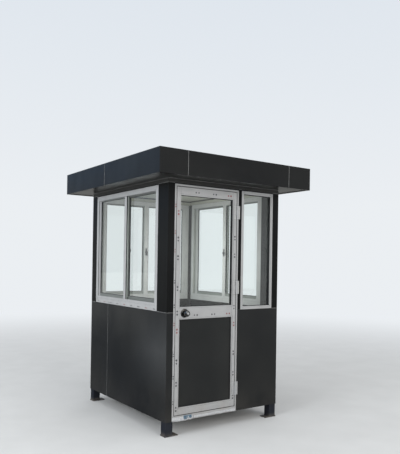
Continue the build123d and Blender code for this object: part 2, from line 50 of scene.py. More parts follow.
# Camera: a phone held at eye height, beside the booth's front left corner and nearly level.
# The lens, place and turn come from fitting the booth's corners, openings and roof edges to the photo.
picture_height = 454.0
booth_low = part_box("front_left_panel")[0][2]
camera_place = Vector((-2.951, -4.671, booth_low + 1.308))
camera_yaw = 0.626
camera_pitch = 0.007
camera_roll = 0.015
forward = Vector(
    (
        math.sin(camera_yaw) * math.cos(camera_pitch),
        math.cos(camera_yaw) * math.cos(camera_pitch),
        math.sin(camera_pitch),
    )
)
level_right = Vector((math.cos(camera_yaw), -math.sin(camera_yaw), 0.0))
level_up = level_right.cross(forward)
right = level_right * math.cos(camera_roll) + level_up * math.sin(camera_roll)
up = level_up * math.cos(camera_roll) - level_right * math.sin(camera_roll)
lens = bpy.data.cameras.new("eye_height_camera")
lens.lens = 44.44
lens.sensor_width = 36.0
lens.shift_x = -15.83 / picture_height
lens.shift_y = 31.94 / picture_height
camera = bpy.data.objects.new("eye_height_camera", lens)
camera.matrix_world = Matrix(
    [(right[i], up[i], -forward[i], camera_place[i]) for i in range(3)] + [(0.0, 0.0, 0.0, 1.0)]
)
scene.collection.objects.link(camera)
scene.camera = camera


# Studio: a pale floor that fades into a pale backdrop, a soft sky, two large softboxes and a small fill in
# the cabin. The cool box stands on the left, where the photo's sky is, and the warmer one before the door.
class Net:
    """The node network of a shader. Most methods add a node and give the socket it ends in. The method add
    gives the node itself, and use, split and vector give all its outputs."""

    def __init__(self, tree, shader=None):
        self.tree = tree
        self.shader = shader

    def set(self, node, values):
        """Sets a node's inputs, given by name or number, to values or to other nodes' sockets."""
        for key, value in values.items():
            socket = node.inputs[key]
            if isinstance(value, bpy.types.NodeSocket):
                self.tree.links.new(value, socket)
            elif socket.type == "RGBA":
                socket.default_value = (*value, 1.0)
            else:
                socket.default_value = value

    def surface(self, **values):
        """Sets the Principled shader's inputs, with underscores for the spaces in their names."""
        self.set(self.shader, {label.replace("_", " "): value for label, value in values.items()})

    def add(self, kind, inputs=None, **settings):
        made = self.tree.nodes.new(kind)
        for key, value in settings.items():
            setattr(made, key, value)
        self.set(made, inputs or {})
        return made

    def use(self, group, inputs):
        return self.add("ShaderNodeGroup", inputs, node_tree=group).outputs

    def place(self, kind="Object"):
        return self.add("ShaderNodeTexCoord").outputs[kind]

    def split(self, vector):
        return self.add("ShaderNodeSeparateXYZ", {0: vector}).outputs

    def vector(self, operation, first, second=(0.0, 0.0, 0.0)):
        return self.add("ShaderNodeVectorMath", {0: first, 1: second}, operation=operation).outputs

    def number(self, operation, first, second=0.0, third=0.0, clamp=False):
        inputs = {0: first, 1: second, 2: third}
        return self.add("ShaderNodeMath", inputs, operation=operation, use_clamp=clamp).outputs[0]

    def times(self, first, second):
        return self.number("MULTIPLY", first, second)

    def remap(self, value, low, high, to_low=0.0, to_high=1.0, curve="LINEAR"):
        inputs = {"Value": value, "From Min": low, "From Max": high, "To Min": to_low, "To Max": to_high}
        return self.add("ShaderNodeMapRange", inputs, interpolation_type=curve).outputs[0]

    def mix(self, factor, first, second):
        return self.add("ShaderNodeMix", {0: factor, 6: first, 7: second}, data_type="RGBA").outputs[2]

    def noise(self, vector, scale, detail, roughness=0.5, distortion=0.0):
        inputs = {"Vector": vector, "Scale": scale, "Detail": detail, "Roughness": roughness}
        return self.add("ShaderNodeTexNoise", {**inputs, "Distortion": distortion}).outputs["Fac"]

    def cells(self, vector, scale, randomness=1.0, output="Distance"):
        inputs = {"Vector": vector, "Scale": scale, "Randomness": randomness}
        return self.add("ShaderNodeTexVoronoi", inputs).outputs[output]

    def bump(self, height, strength, distance, **normal):
        inputs = {"Height": height, "Strength": strength, "Distance": distance, **normal}
        return self.add("ShaderNodeBump", inputs).outputs[0]

    def blend(self, factor, first, second):
        return self.add("ShaderNodeMixShader", {0: factor, 1: first, 2: second}).outputs[0]


backdrop_colour = (0.83, 0.86, 0.89)
zenith_colour = (0.62, 0.70, 0.80)
mirrored_front = (0.42, 0.42, 0.41)
mirrored_horizon, mirrored_blue = (0.20, 0.20, 0.19), (0.25, 0.43, 0.70)
mirrored_box = (2.6, 2.6, 2.5)
towards_front_box = (0.05, -0.85, 0.52)
world = bpy.data.worlds.new("pale_studio")
scene.world = world
world.use_nodes = True
net = Net(world.node_tree)
net.tree.nodes.clear()
direction = net.place("Generated")
compass = net.split(direction)
seen_sky = net.mix(net.remap(compass["Z"], 0.1, 0.9), backdrop_colour, zenith_colour)
dim_front = net.mix(net.remap(compass["Y"], 0.05, -0.75), seen_sky, mirrored_front)
blue_side = net.mix(net.remap(compass["Z"], 0.095, 0.15), mirrored_horizon, mirrored_blue)
mirrored_sky = net.mix(net.remap(compass["X"], 0.0, -0.25), dim_front, blue_side)
near_box = net.vector("DOT_PRODUCT", direction, towards_front_box)["Value"]
glint = net.remap(near_box, 0.88, 0.98, 0.0, 0.85, "SMOOTHSTEP")
mirrored_lamp = net.mix(glint, mirrored_sky, mirrored_box)
ray = net.add("ShaderNodeLightPath").outputs
seen = net.number("MAXIMUM", ray["Is Camera Ray"], ray["Is Transmission Ray"])
shown, mirrored, giving = [
    net.add("ShaderNodeBackground", {"Color": colour, "Strength": strength}).outputs[0]
    for colour, strength in ((seen_sky, 1.0), (mirrored_lamp, 1.0), ((0.93, 0.96, 1.0), 0.88))
]
bounced = net.blend(ray["Is Glossy Ray"], giving, mirrored)
net.add("ShaderNodeOutputWorld", {"Surface": net.blend(seen, bounced, shown)})

floor_half = 60.0
bm = bmesh.new()
bmesh.ops.create_grid(bm, x_segments=4, y_segments=4, size=floor_half)
floor_mesh = bpy.data.meshes.new("studio_floor")
bm.to_mesh(floor_mesh)
bm.free()
studio_floor = bpy.data.objects.new("studio_floor", floor_mesh)
scene.collection.objects.link(studio_floor)
pale_floor = bpy.data.materials.new("pale_floor")
pale_floor.use_nodes = True
net = Net(pale_floor.node_tree)
net.tree.nodes.clear()
place = net.place()
away = net.vector("LENGTH", place)["Value"]
tone = net.mix(net.noise(place, 3.0, 6.0), (0.58, 0.58, 0.57), (0.66, 0.66, 0.65))
matt = net.add("ShaderNodeBsdfDiffuse", {"Color": tone}).outputs[0]
glow = net.add("ShaderNodeEmission", {"Color": backdrop_colour}).outputs[0]
seen_floor = net.blend(net.remap(away, 2.5, 11.0, curve="SMOOTHSTEP"), matt, glow)
in_mirrors = net.mix(net.remap(away, 6.0, 15.0), (0.10, 0.105, 0.11), (0.62, 0.62, 0.59))
shade = net.add("ShaderNodeEmission", {"Color": in_mirrors}).outputs[0]
ray = net.add("ShaderNodeLightPath").outputs
reflected = net.number("SUBTRACT", ray["Is Glossy Ray"], ray["Is Transmission Ray"], clamp=True)
whole_floor = net.blend(reflected, seen_floor, shade)
net.add("ShaderNodeOutputMaterial", {"Surface": whole_floor})
floor_mesh.materials.append(pale_floor)


def hidden_lamp(name, kind, place, power, colour):
    """A lamp that only lights: it isn't seen, through the glass or in reflections either."""
    data = bpy.data.lights.new(name, kind)
    data.energy = power
    data.color = colour
    lamp = bpy.data.objects.new(name, data)
    lamp.location = place
    lamp.visible_camera = lamp.visible_transmission = lamp.visible_glossy = False
    scene.collection.objects.link(lamp)
    return lamp


lit_point = Vector((0.0, 0.0, 1.2))
for name, place, power, colour in (
    ("left_softbox", (-8.0, -1.5, 3.4), 465.0, (0.92, 0.96, 1.0)),
    ("front_softbox", (0.5, -9.5, 4.2), 400.0, (1.0, 0.98, 0.95)),
):
    softbox = hidden_lamp(name, "AREA", place, power, colour)
    softbox.data.size = 5.0
    softbox.rotation_euler = (lit_point - Vector(place)).to_track_quat("-Z", "Y").to_euler()
cabin_fill = hidden_lamp("cabin_fill", "POINT", (0.0, 0.0, 1.45), 19.0, (1.0, 0.99, 0.96))
cabin_fill.data.shadow_soft_size = 0.30


# Foot plates and legs: mild steel plate and square tube under thick dark grey paint, welded all round.
# Road dust clings to the plates and the lowest part of the tubes.
def new_group(name, inputs, outputs):
    """A shader node group with its sockets, and the nodes that stand for its inputs and outputs."""
    group = bpy.data.node_groups.new(name, "ShaderNodeTree")
    for way, sockets in (("INPUT", inputs), ("OUTPUT", outputs)):
        for label, kind in sockets.items():
            group.interface.new_socket(label, in_out=way, socket_type=f"NodeSocket{kind}")
    return Net(group), group.nodes.new("NodeGroupInput").outputs, group.nodes.new("NodeGroupOutput")


def new_material(name, **plain):
    """A material with a Principled shader, and its network."""
    made = bpy.data.materials.new(name)
    made.use_nodes = True
    net = Net(made.node_tree, made.node_tree.nodes["Principled BSDF"])
    net.surface(**plain)
    return made, net


net, given, result = new_group(
    "road_dust",
    {"Vector": "Vector", **dict.fromkeys(("Full Below", "Gone Above", "Patch Scale", "Runs"), "Float")},
    {"Mask": "Float"},
)
level = net.split(given["Vector"])["Z"]
low_part = net.remap(level, given["Full Below"], given["Gone Above"], 1.0, 0.0)
patches = net.noise(given["Vector"], given["Patch Scale"], 8.0, 0.65)
run_stretch = net.vector("MULTIPLY", given["Vector"], (46.0, 46.0, 1.6))[0]
run_mask = net.remap(net.noise(run_stretch, 1.0, 4.0), 0.45, 0.72)
patch_mask = net.remap(patches, 0.38, 0.66)
both = net.number("MAXIMUM", patch_mask, net.times(run_mask, given["Runs"]))
net.set(result, {"Mask": net.number("MULTIPLY", both, low_part, clamp=True)})
road_dust = net.tree

net, given, result = new_group(
    "paint_grain",
    {"Vector": "Vector", "Scale": "Float", "Depth": "Float", "Strength": "Float", "Normal": "Vector"},
    {"Normal": "Vector", "Tone": "Float"},
)
fine = net.noise(given["Vector"], given["Scale"], 3.0)
peel = net.bump(fine, given["Strength"], given["Depth"], Normal=given["Normal"])
net.set(result, {"Normal": peel, "Tone": fine})
paint_grain = net.tree


def dust_mask(net, place, levels, patch_scale, runs):
    inputs = {"Vector": place, "Full Below": levels[0], "Gone Above": levels[1]}
    return net.use(road_dust, {**inputs, "Patch Scale": patch_scale, "Runs": runs})["Mask"]


def grained(net, place, scale, depth, strength, **normal):
    inputs = {"Vector": place, "Scale": scale, "Depth": depth, "Strength": strength, **normal}
    return net.use(paint_grain, inputs)


dust_tone = (0.20, 0.17, 0.135)
no_dust = (-1.0, -0.5)


def coated_metal(name, light, dark, dust_levels, roughness, grain_scale=420.0):
    """A painted surface: two close tones, fine grain, and dust that fades upwards."""
    made, net = new_material(name, Specular_IOR_Level=0.22)
    place = net.place()
    cloud = net.noise(place, 2.4, 5.0)
    paint = net.mix(net.remap(cloud, 0.35, 0.65), dark, light)
    mask = dust_mask(net, place, dust_levels, 7.0, 0.5)
    worn = net.remap(cloud, 0.3, 0.7, roughness, roughness + 0.1)
    net.surface(
        Base_Color=net.mix(net.times(mask, 0.75), paint, dust_tone),
        Roughness=net.number("ADD", worn, net.times(mask, 0.3), clamp=True),
        Normal=grained(net, place, grain_scale, 0.0003, 0.35)["Normal"],
    )
    return made


def dress(material, *node_names):
    """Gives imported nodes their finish."""
    for name in node_names:
        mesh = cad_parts[name].data
        mesh.materials.clear()
        mesh.materials.append(material)


def soften(piece, width):
    """Takes the sharpness off a piece's edges with modifiers, which leave its mesh alone."""
    weld = piece.modifiers.new("join_facets", "WELD")
    weld.merge_threshold = 0.00002
    bevel = piece.modifiers.new("edge_radius", "BEVEL")
    bevel.width = width
    bevel.segments = 2
    bevel.limit_method = "ANGLE"
    bevel.angle_limit = math.radians(35.0)
    normals = piece.modifiers.new("flat_faces", "WEIGHTED_NORMAL")
    normals.keep_sharp = False


def round_edges(width, *node_names):
    """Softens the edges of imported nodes."""
    for name in node_names:
        soften(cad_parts[name], width)


def put_together(name, bm, material, body, smooth=False):
    """Makes the finished piece from its mesh, with its faces outwards, and lets it ride on its body."""
    bmesh.ops.recalc_face_normals(bm, faces=bm.faces[:])
    for face in bm.faces:
        face.smooth = smooth
    mesh = bpy.data.meshes.new(name)
    bm.to_mesh(mesh)
    bm.free()
    mesh.materials.append(material)
    piece = bpy.data.objects.new(name, mesh)
    scene.collection.objects.link(piece)
    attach(piece, body)
    return piece


def bead(bm, start, end, radius, ripple, step, facets=8, flat=None):
    """A run of weld or sealant: a long round bar whose thickness swells and shrinks along it."""
    start, end = Vector(start), Vector(end)
    length = (end - start).length
    axis = (end - start).normalized()
    turn = (end - start).to_track_quat("Z", "Y").to_matrix().to_4x4()
    earlier = len(bm.verts)
    verts = bmesh.ops.create_cone(
        bm, cap_ends=True, segments=facets, radius1=radius, radius2=radius, depth=length,
        matrix=Matrix.Translation((start + end) / 2) @ turn,
    )["verts"]
    edges = {edge for vert in verts for edge in vert.link_edges}
    sides = [edge for edge in edges if abs((edge.verts[1].co - edge.verts[0].co).dot(axis)) > length / 2]
    bmesh.ops.subdivide_edges(bm, edges=sides, cuts=max(1, int(length / step)))
    bm.verts.ensure_lookup_table()
    for vert in bm.verts[earlier:]:
        along = (vert.co - start).dot(axis)
        centre = start + axis * along
        swell = 1.0 + ripple * math.sin(along / step * 2.4 + radius * 9000.0) * math.cos(along / step * 0.7)
        offset = (vert.co - centre) * swell
        if flat is not None:
            offset -= Vector(flat) * offset.dot(Vector(flat)) * 0.6
        vert.co = centre + offset


body_x, body_y = 0.600, 0.750
leg_paint = coated_metal("leg_paint", (0.020, 0.022, 0.029), (0.013, 0.015, 0.020), (0.0, 0.04), 0.46)
dress(leg_paint, "foot_plates", "legs")
round_edges(0.0008, "foot_plates")
round_edges(0.002, "legs")

leg_width = 0.070
leg_setback = 0.005
plate_top = 0.008
weld_radius, weld_ripple, weld_step = 0.0036, 0.16, 0.0035
bm = bmesh.new()
for side_x in (-1, 1):
    for side_y in (-1, 1):
        near_x, near_y = side_x * (body_x - leg_setback), side_y * (body_y - leg_setback)
        far_x, far_y = near_x - side_x * leg_width, near_y - side_y * leg_width
        ring = [(near_x, near_y), (far_x, near_y), (far_x, far_y), (near_x, far_y), (near_x, near_y)]
        for (x0, y0), (x1, y1) in zip(ring, ring[1:]):
            bead(bm, (x0, y0, plate_top), (x1, y1, plate_top), weld_radius, weld_ripple, weld_step)
put_together("leg_welds", bm, leg_paint, "booth", smooth=True)


# Base frame, posts, ring beams and roof frame: welded square tube in dark grey paint.
# The posts show between the windows' frames from inside, and the rails and joists from below.
frame_paint = coated_metal("frame_paint", (0.026, 0.027, 0.028), (0.019, 0.020, 0.021), (0.09, 0.20), 0.45)
steel_nodes = (
    "base_frame", "door_post", "top_frame", "roof_frame",
    "front_left_post", "front_right_post", "back_left_post", "back_right_post",
)
dress(frame_paint, *steel_nodes)
round_edges(0.002, *steel_nodes)


# Floor: a vinyl-faced board, pale grey with a fine fleck and scuffed by feet.
# It lies on the base frame's rails and joists.
floor_vinyl, net = new_material("floor_vinyl", Specular_IOR_Level=0.35)
place = net.place()
fleck_mask = net.number("LESS_THAN", net.cells(place, 210.0), 0.22)
tread = net.noise(place, 5.0, 9.0, 0.7)
ground = net.mix(net.remap(tread, 0.35, 0.7), (0.20, 0.19, 0.175), (0.30, 0.29, 0.27))
net.surface(
    Base_Color=net.mix(net.times(fleck_mask, 0.45), ground, (0.11, 0.10, 0.09)),
    Roughness=net.remap(tread, 0.3, 0.7, 0.38, 0.62),
    Normal=grained(net, place, 600.0, 0.0004, 0.4)["Normal"],
)
dress(floor_vinyl, "floor_board")


# Wall infill: rigid foam board below the windows, between the cladding and the lining, cut to fit between
# the posts. It is sealed in, but for its joints with the posts.
foam_board, net = new_material("foam_board", Roughness=0.9)
pores = net.cells(net.place(), 260.0)
net.surface(
    Base_Color=net.mix(pores, (0.62, 0.62, 0.56), (0.74, 0.74, 0.69)),
    Normal=net.bump(pores, 0.5, 0.0006),
)
dress(foam_board, "wall_cores")


# Composite cladding: 4 mm sheet in satin charcoal, folded round the corners, with slightly wavy faces.
# The same sheet makes the lower walls, the corner piers, the trims, the soffit, the fascia and the lining.
net, given, result = new_group(
    "sheet_waves", {"Vector": "Vector", "Wave Scale": "Float", "Depth": "Float", "Strength": "Float"},
    {"Normal": "Vector"},
)
swell = net.noise(given["Vector"], given["Wave Scale"], 1.5, 0.4)
net.set(result, {"Normal": net.bump(swell, given["Strength"], given["Depth"])})
sheet_waves = net.tree

net, given, result = new_group("hand_marks", {"Vector": "Vector"}, {"Mask": "Float"})
smear_stretch = net.vector("MULTIPLY", given["Vector"], (2.2, 2.2, 1.5))[0]
smear_mask = net.remap(net.noise(smear_stretch, 2.0, 10.0, 0.72), 0.52, 0.74)
speck_mask = net.remap(net.cells(given["Vector"], 70.0), 0.10, 0.04)
marks = net.number("MAXIMUM", smear_mask, net.times(speck_mask, 0.35), clamp=True)
net.set(result, {"Mask": marks})
hand_marks = net.tree
smear_tone = (0.16, 0.17, 0.17)
# Painted reflection: the colour and middle height of the pale sheen that composite_sheet paints on side faces.
painted_sheen_tone, painted_sheen_level = (0.082, 0.085, 0.087), 0.68


def composite_sheet(name, light, dark, shine, roughness, wave_depth, dust_levels=no_dust, haze=0.0):
    """Satin-coated composite sheet: waves, faint smears and dust low down. The haze argument paints a pale
    sheen on the side faces towards the front, as strong as the number given: a painted reflection."""
    made, net = new_material(name, Specular_IOR_Level=shine)
    coords = net.add("ShaderNodeTexCoord").outputs
    place = coords["Object"]
    waves = net.use(
        sheet_waves, {"Vector": place, "Wave Scale": 3.2, "Depth": wave_depth, "Strength": 0.6}
    )["Normal"]
    marks = net.use(hand_marks, {"Vector": place})["Mask"]
    mask = dust_mask(net, place, dust_levels, 4.0, 0.05)
    drift = net.noise(place, 1.15, 2.0, 0.45)
    coat = net.mix(net.remap(drift, 0.36, 0.64), dark, light)
    # Painted reflection: a pale sheen painted into the coat on the side faces, strongest towards the front and
    # round the middle height.
    if haze:
        on_side = net.remap(net.number("ABSOLUTE", net.split(coords["Normal"])["X"]), 0.4, 0.8)
        forward_part = net.remap(net.split(place)["Y"], -0.08, -0.58)
        from_middle = net.number("ABSOLUTE", net.number("SUBTRACT", net.split(place)["Z"], painted_sheen_level))
        bloom = net.times(net.times(on_side, forward_part), net.remap(from_middle, 0.36, 0.0))
        coat = net.mix(net.times(bloom, haze), coat, painted_sheen_tone)
    smeared = net.mix(net.times(marks, 0.015), coat, smear_tone)
    dulled = net.remap(marks, 0.0, 1.0, roughness, roughness + 0.05)
    net.surface(
        Base_Color=net.mix(net.times(mask, 0.07), smeared, dust_tone),
        Roughness=net.number("ADD", dulled, net.times(mask, 0.25), clamp=True),
        Normal=grained(net, place, 700.0, 0.00005, 0.2, Normal=waves)["Normal"],
    )
    return made


low_dust = (booth_low, booth_low + 0.30)
# The charcoal sheet's last number is the strength of its painted sheen, a painted reflection near the front
# corners.
charcoal_sheet = composite_sheet(
    "charcoal_sheet", (0.0200, 0.0204, 0.0200), (0.0100, 0.0110, 0.0122), 0.26, 0.30, 0.012, low_dust, 0.40
)
door_sheet = composite_sheet(
    "door_sheet", (0.0262, 0.0266, 0.0256), (0.0160, 0.0170, 0.0172), 0.26, 0.30, 0.012, low_dust
)
pier_sheet = composite_sheet(
    "pier_sheet", (0.0095, 0.0098, 0.0098), (0.0060, 0.0063, 0.0063), 0.07, 0.34, 0.008
)
fascia_sheet = composite_sheet(
    "fascia_sheet", (0.0150, 0.0153, 0.0150), (0.0100, 0.0104, 0.0110), 0.15, 0.30, 0.012
)
soffit_sheet = composite_sheet(
    "soffit_sheet", (0.028, 0.028, 0.0262), (0.020, 0.020, 0.0191), 0.66, 0.32, 0.010
)
fascia_nodes = ("fascia_front", "fascia_back", "fascia_corners")
lower_nodes = ("front_left_panel", "front_right_panel", "back_left_panel", "back_right_panel")
dress(charcoal_sheet, *lower_nodes, "wall_lining")
dress(door_sheet, "door_kick_panel")
dress(pier_sheet, "corner_cladding")
dress(fascia_sheet, *fascia_nodes)
dress(soffit_sheet, "soffit", "head_trim")
round_edges(0.0007, "head_trim", "soffit", "wall_lining", *fascia_nodes)

# Sealant: pale grey neutral silicone, tooled by hand into the butt joints of the sheets.
# It shows as a thin light line at every joint of the fascia, the lower sheets, the piers and the soffit.
pale_sealant, net = new_material("pale_sealant", Specular_IOR_Level=0.3, Roughness=0.55)
smutch = net.noise(net.place(), 38.0, 6.0)
sealant_tone = net.mix(net.remap(smutch, 0.35, 0.7), (0.095, 0.095, 0.092), (0.17, 0.17, 0.165))
net.surface(Base_Color=sealant_tone, Normal=net.bump(smutch, 0.5, 0.0006))

roof_x, roof_y = 0.805, 0.955
fascia_low, fascia_high = (corner[2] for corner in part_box("fascia_front"))
lip_width, cap_width = 0.025, 0.040
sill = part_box("left_window_frame")[0][2]
sill_joint = sill - 0.0015
wall_seam, fascia_seam, soffit_seam = 0.0021, 0.0026, 0.0032
seam_ripple, seam_step = 0.10, 0.045


def seam(bm, start, end, outwards, radius=fascia_seam):
    """A tooled joint: a flattened bead pressed against the faces beside it."""
    bead(bm, start, end, radius, seam_ripple, seam_step, flat=outwards)


def folded_seam(bm, x, y, outwards):
    """A joint up the fascia that also runs back over its cap and under its lower lip."""
    seam(bm, (x, y, fascia_low), (x, y, fascia_high), outwards)
    for level, width in ((fascia_high, cap_width), (fascia_low, lip_width)):
        seam(bm, (x, y, level), (x - outwards[0] * width, y - outwards[1] * width, level), (0, 0, 1))


bm = bmesh.new()
for side, seam_places in ((-1, (-0.544, 0.538)), (1, (0.544, -0.538))):
    for x in seam_places:
        folded_seam(bm, x, side * roof_y, (0, side, 0))
    folded_seam(bm, side * roof_x, 0.039, (side, 0, 0))
put_together("fascia_sealant", bm, pale_sealant, "booth", smooth=True)

bm = bmesh.new()
for x, y, outwards in ((-body_x, 0.359, (1, 0, 0)), (body_x, -0.005, (1, 0, 0)), (0.229, body_y, (0, 1, 0))):
    seam(bm, (x, y, booth_low), (x, y, sill_joint), outwards, wall_seam)
piers = ((-1, -1, 0.061, 0.162), (1, -1, 0.073, 0.162), (-1, 1, 0.065, 0.111), (1, 1, 0.065, 0.111))
cladding_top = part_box("corner_cladding")[1][2] + 0.0015
fold_back = 0.003
for side_x, side_y, run_x, run_y in piers:
    x, y = side_x * body_x, side_y * body_y
    for level in (sill_joint, cladding_top):
        seam(bm, (x - side_x * fold_back, y, level), (x - side_x * run_x, y, level), (0, 1, 0))
        seam(bm, (x, y - side_y * fold_back, level), (x, y - side_y * run_y, level), (1, 0, 0))
seam(bm, (0.125, -body_y, cladding_top), (0.160, -body_y, cladding_top), (0, 1, 0))
soffit_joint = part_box("soffit")[0][2] - 0.001
trim_x, trim_y = 0.599, 0.749
for side in (-1, 1):
    x, y = side * trim_x, side * trim_y
    seam(bm, (-trim_x, y, soffit_joint), (trim_x, y, soffit_joint), (0, 1, 0), soffit_seam)
    seam(bm, (x, -trim_y, soffit_joint), (x, trim_y, soffit_joint), (1, 0, 0), soffit_seam)
put_together("wall_sealant", bm, pale_sealant, "booth", smooth=True)


# Ceiling: the same composite sheet with its pale back downwards, seen through the glass.
# It bears on the inner half of the ring beams, under the roof joists.
ceiling_sheet = composite_sheet("ceiling_sheet", (0.30, 0.30, 0.264), (0.23, 0.23, 0.202), 0.3, 0.45, 0.006)
dress(ceiling_sheet, "ceiling")


# Roof deck: bright profiled steel sheet on the roof frame, dulled by weather and held by washered screws.
# The screws go through the tops of the ribs, in five rows.
deck_steel, net = new_material("deck_steel", Metallic=0.85)
place = net.place()
spangle = net.cells(place, 90.0, output="Color")
bloom = net.noise(place, 4.0, 8.0, 0.65)
zinc = net.mix(spangle, (0.46, 0.48, 0.49), (0.60, 0.62, 0.63))
net.surface(
    Base_Color=net.mix(net.remap(bloom, 0.5, 0.75), zinc, (0.36, 0.35, 0.33)),
    Roughness=net.remap(bloom, 0.3, 0.7, 0.36, 0.6), Normal=net.bump(bloom, 0.3, 0.002),
)
dress(deck_steel, "roof_deck")

screw_zinc, net = new_material("screw_zinc", Metallic=0.9)
tarnish = net.noise(net.place(), 300.0, 4.0)
net.surface(
    Base_Color=net.mix(tarnish, (0.32, 0.33, 0.34), (0.58, 0.59, 0.60)),
    Roughness=net.remap(tarnish, 0.3, 0.7, 0.28, 0.5),
)


def turned(bm, profile, origin, axis, steps):
    """A solid of revolution: a profile of (radius, distance along the axis) spun round it."""
    turn = Vector(axis).to_track_quat("Z", "Y").to_matrix()
    verts = [bm.verts.new(Vector(origin) + turn @ Vector((radius, 0.0, along))) for radius, along in profile]
    edges = [bm.edges.new(pair) for pair in zip(verts, verts[1:])]
    bmesh.ops.spin(
        bm, geom=verts + edges, cent=origin, axis=turn @ Vector((0, 0, 1)), angle=math.tau, steps=steps,
        use_merge=True, use_duplicate=False,
    )
    bmesh.ops.remove_doubles(bm, verts=bm.verts[:], dist=0.000002)


def recessed_head(bm, origin, outwards, radius, height, crossed=True):
    """A screw head: round with a cross recess, or else a hexagon."""
    out = Vector(outwards)
    placed = Matrix.Translation(Vector(origin) + out * height / 2)
    placed = placed @ out.to_track_quat("Z", "Y").to_matrix().to_4x4()
    segments, crown = (16, 0.72) if crossed else (6, 0.94)
    verts = bmesh.ops.create_cone(
        bm, cap_ends=True, segments=segments, radius1=radius, radius2=radius * crown, depth=height,
        matrix=placed,
    )["verts"]
    faces = {face for vert in verts for face in vert.link_faces}
    top = max(faces, key=lambda face: face.calc_center_median().dot(out) + face.normal.dot(out))
    bmesh.ops.inset_region(bm, faces=[top], thickness=radius * 0.18)
    if crossed:
        middle = top.calc_center_median()
        for i, vert in enumerate(top.verts):
            reach = 0.78 if i % 4 == 0 else 0.30
            vert.co = middle + (vert.co - middle) * reach - out * height * 0.45


rib_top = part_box("roof_deck")[1][2]
rib_count = 7
screw_rows = (-0.9307, -0.4552, 0.0, 0.4552, 0.9307)
deck_half = 0.8007
washer = [(0.0, 0.0), (0.008, 0.0), (0.008, 0.0016), (0.0045, 0.0026), (0.0, 0.0026)]
bm = bmesh.new()
for rib in range(rib_count):
    x = -deck_half + 2 * deck_half / rib_count * (rib + 0.5)
    for y in screw_rows:
        turned(bm, washer, (x, y, rib_top), (0, 0, 1), 12)
        recessed_head(bm, (x, y, rib_top + 0.0024), (0, 0, 1), 0.0046, 0.0048, False)
put_together("roof_screws", bm, screw_zinc, "booth")


# Window and door bars: dark powder-coated aluminium that still wears its white protective film.
# The film covers the faces towards outside and inside. On the sliding windows a grey film wraps the bars'
# sides too, short of the outer corners. The film on the outward faces of the inner sashes, set back in the
# frames, is painted darker: painted shade.
net, given, result = new_group(
    "film_wear_and_fold_shade", {"Vector": "Vector", "Normal": "Vector", "Facing": "Vector"},
    {"Cover": "Float", "Tone": "Float", "Height": "Float"},
)
turned_to = net.vector("DOT_PRODUCT", given["Normal"], given["Facing"])["Value"]
sag = net.noise(given["Vector"], 9.0, 4.0, distortion=0.6)
crinkle = net.noise(given["Vector"], 46.0, 5.0, 0.55, 1.8)
ridges = net.number("ABSOLUTE", net.number("SUBTRACT", crinkle, 0.5))
# Painted shade: fold lines darken the film, standing in for shade in its creases. The small dots are print.
folds = net.times(net.remap(ridges, 0.035, 0.0), net.remap(sag, 0.50, 0.62))
dot_mask = net.remap(net.cells(given["Vector"], 10.0, 0.7), 0.055, 0.040)
fold_shade_and_print_dots = net.number("ADD", net.times(folds, 0.45), net.times(dot_mask, 0.9))
net.set(
    result,
    {
        "Cover": net.remap(net.number("ABSOLUTE", turned_to), 0.45, 0.60),
        "Tone": net.number("SUBTRACT", sag, fold_shade_and_print_dots),
        "Height": net.number("ADD", sag, net.times(folds, 0.25)),
    },
)
film_wear_and_fold_shade = net.tree
bar_shadow, bar_light = (0.016, 0.017, 0.018), (0.026, 0.027, 0.028)
# White film tones, darker and lighter. The darker one shows where the film's sag noise dips, at the print
# dots, and as painted shade along its folds.
white_film = ((0.302, 0.303, 0.302), (0.372, 0.372, 0.370))
# Painted shade: a greyer film tone for the sash rails, which lie in the shade of the head track and the sill.
rail_shade_film = ((0.135, 0.145, 0.136), (0.168, 0.178, 0.168))
# The first tone is painted shade for the inner sashes' outward faces, which are set back in the frame.
inner_sash_shade, wrapping_film = (0.150, 0.160, 0.150), (0.330, 0.345, 0.325)
across_windows, along_booth = (1.0, 0.0, 0.0), (0.0, 1.0, 0.0)
inner_sash_depth, sash_margin = 0.0345, 0.006
side_inner, end_inner = body_x - inner_sash_depth, body_y - inner_sash_depth


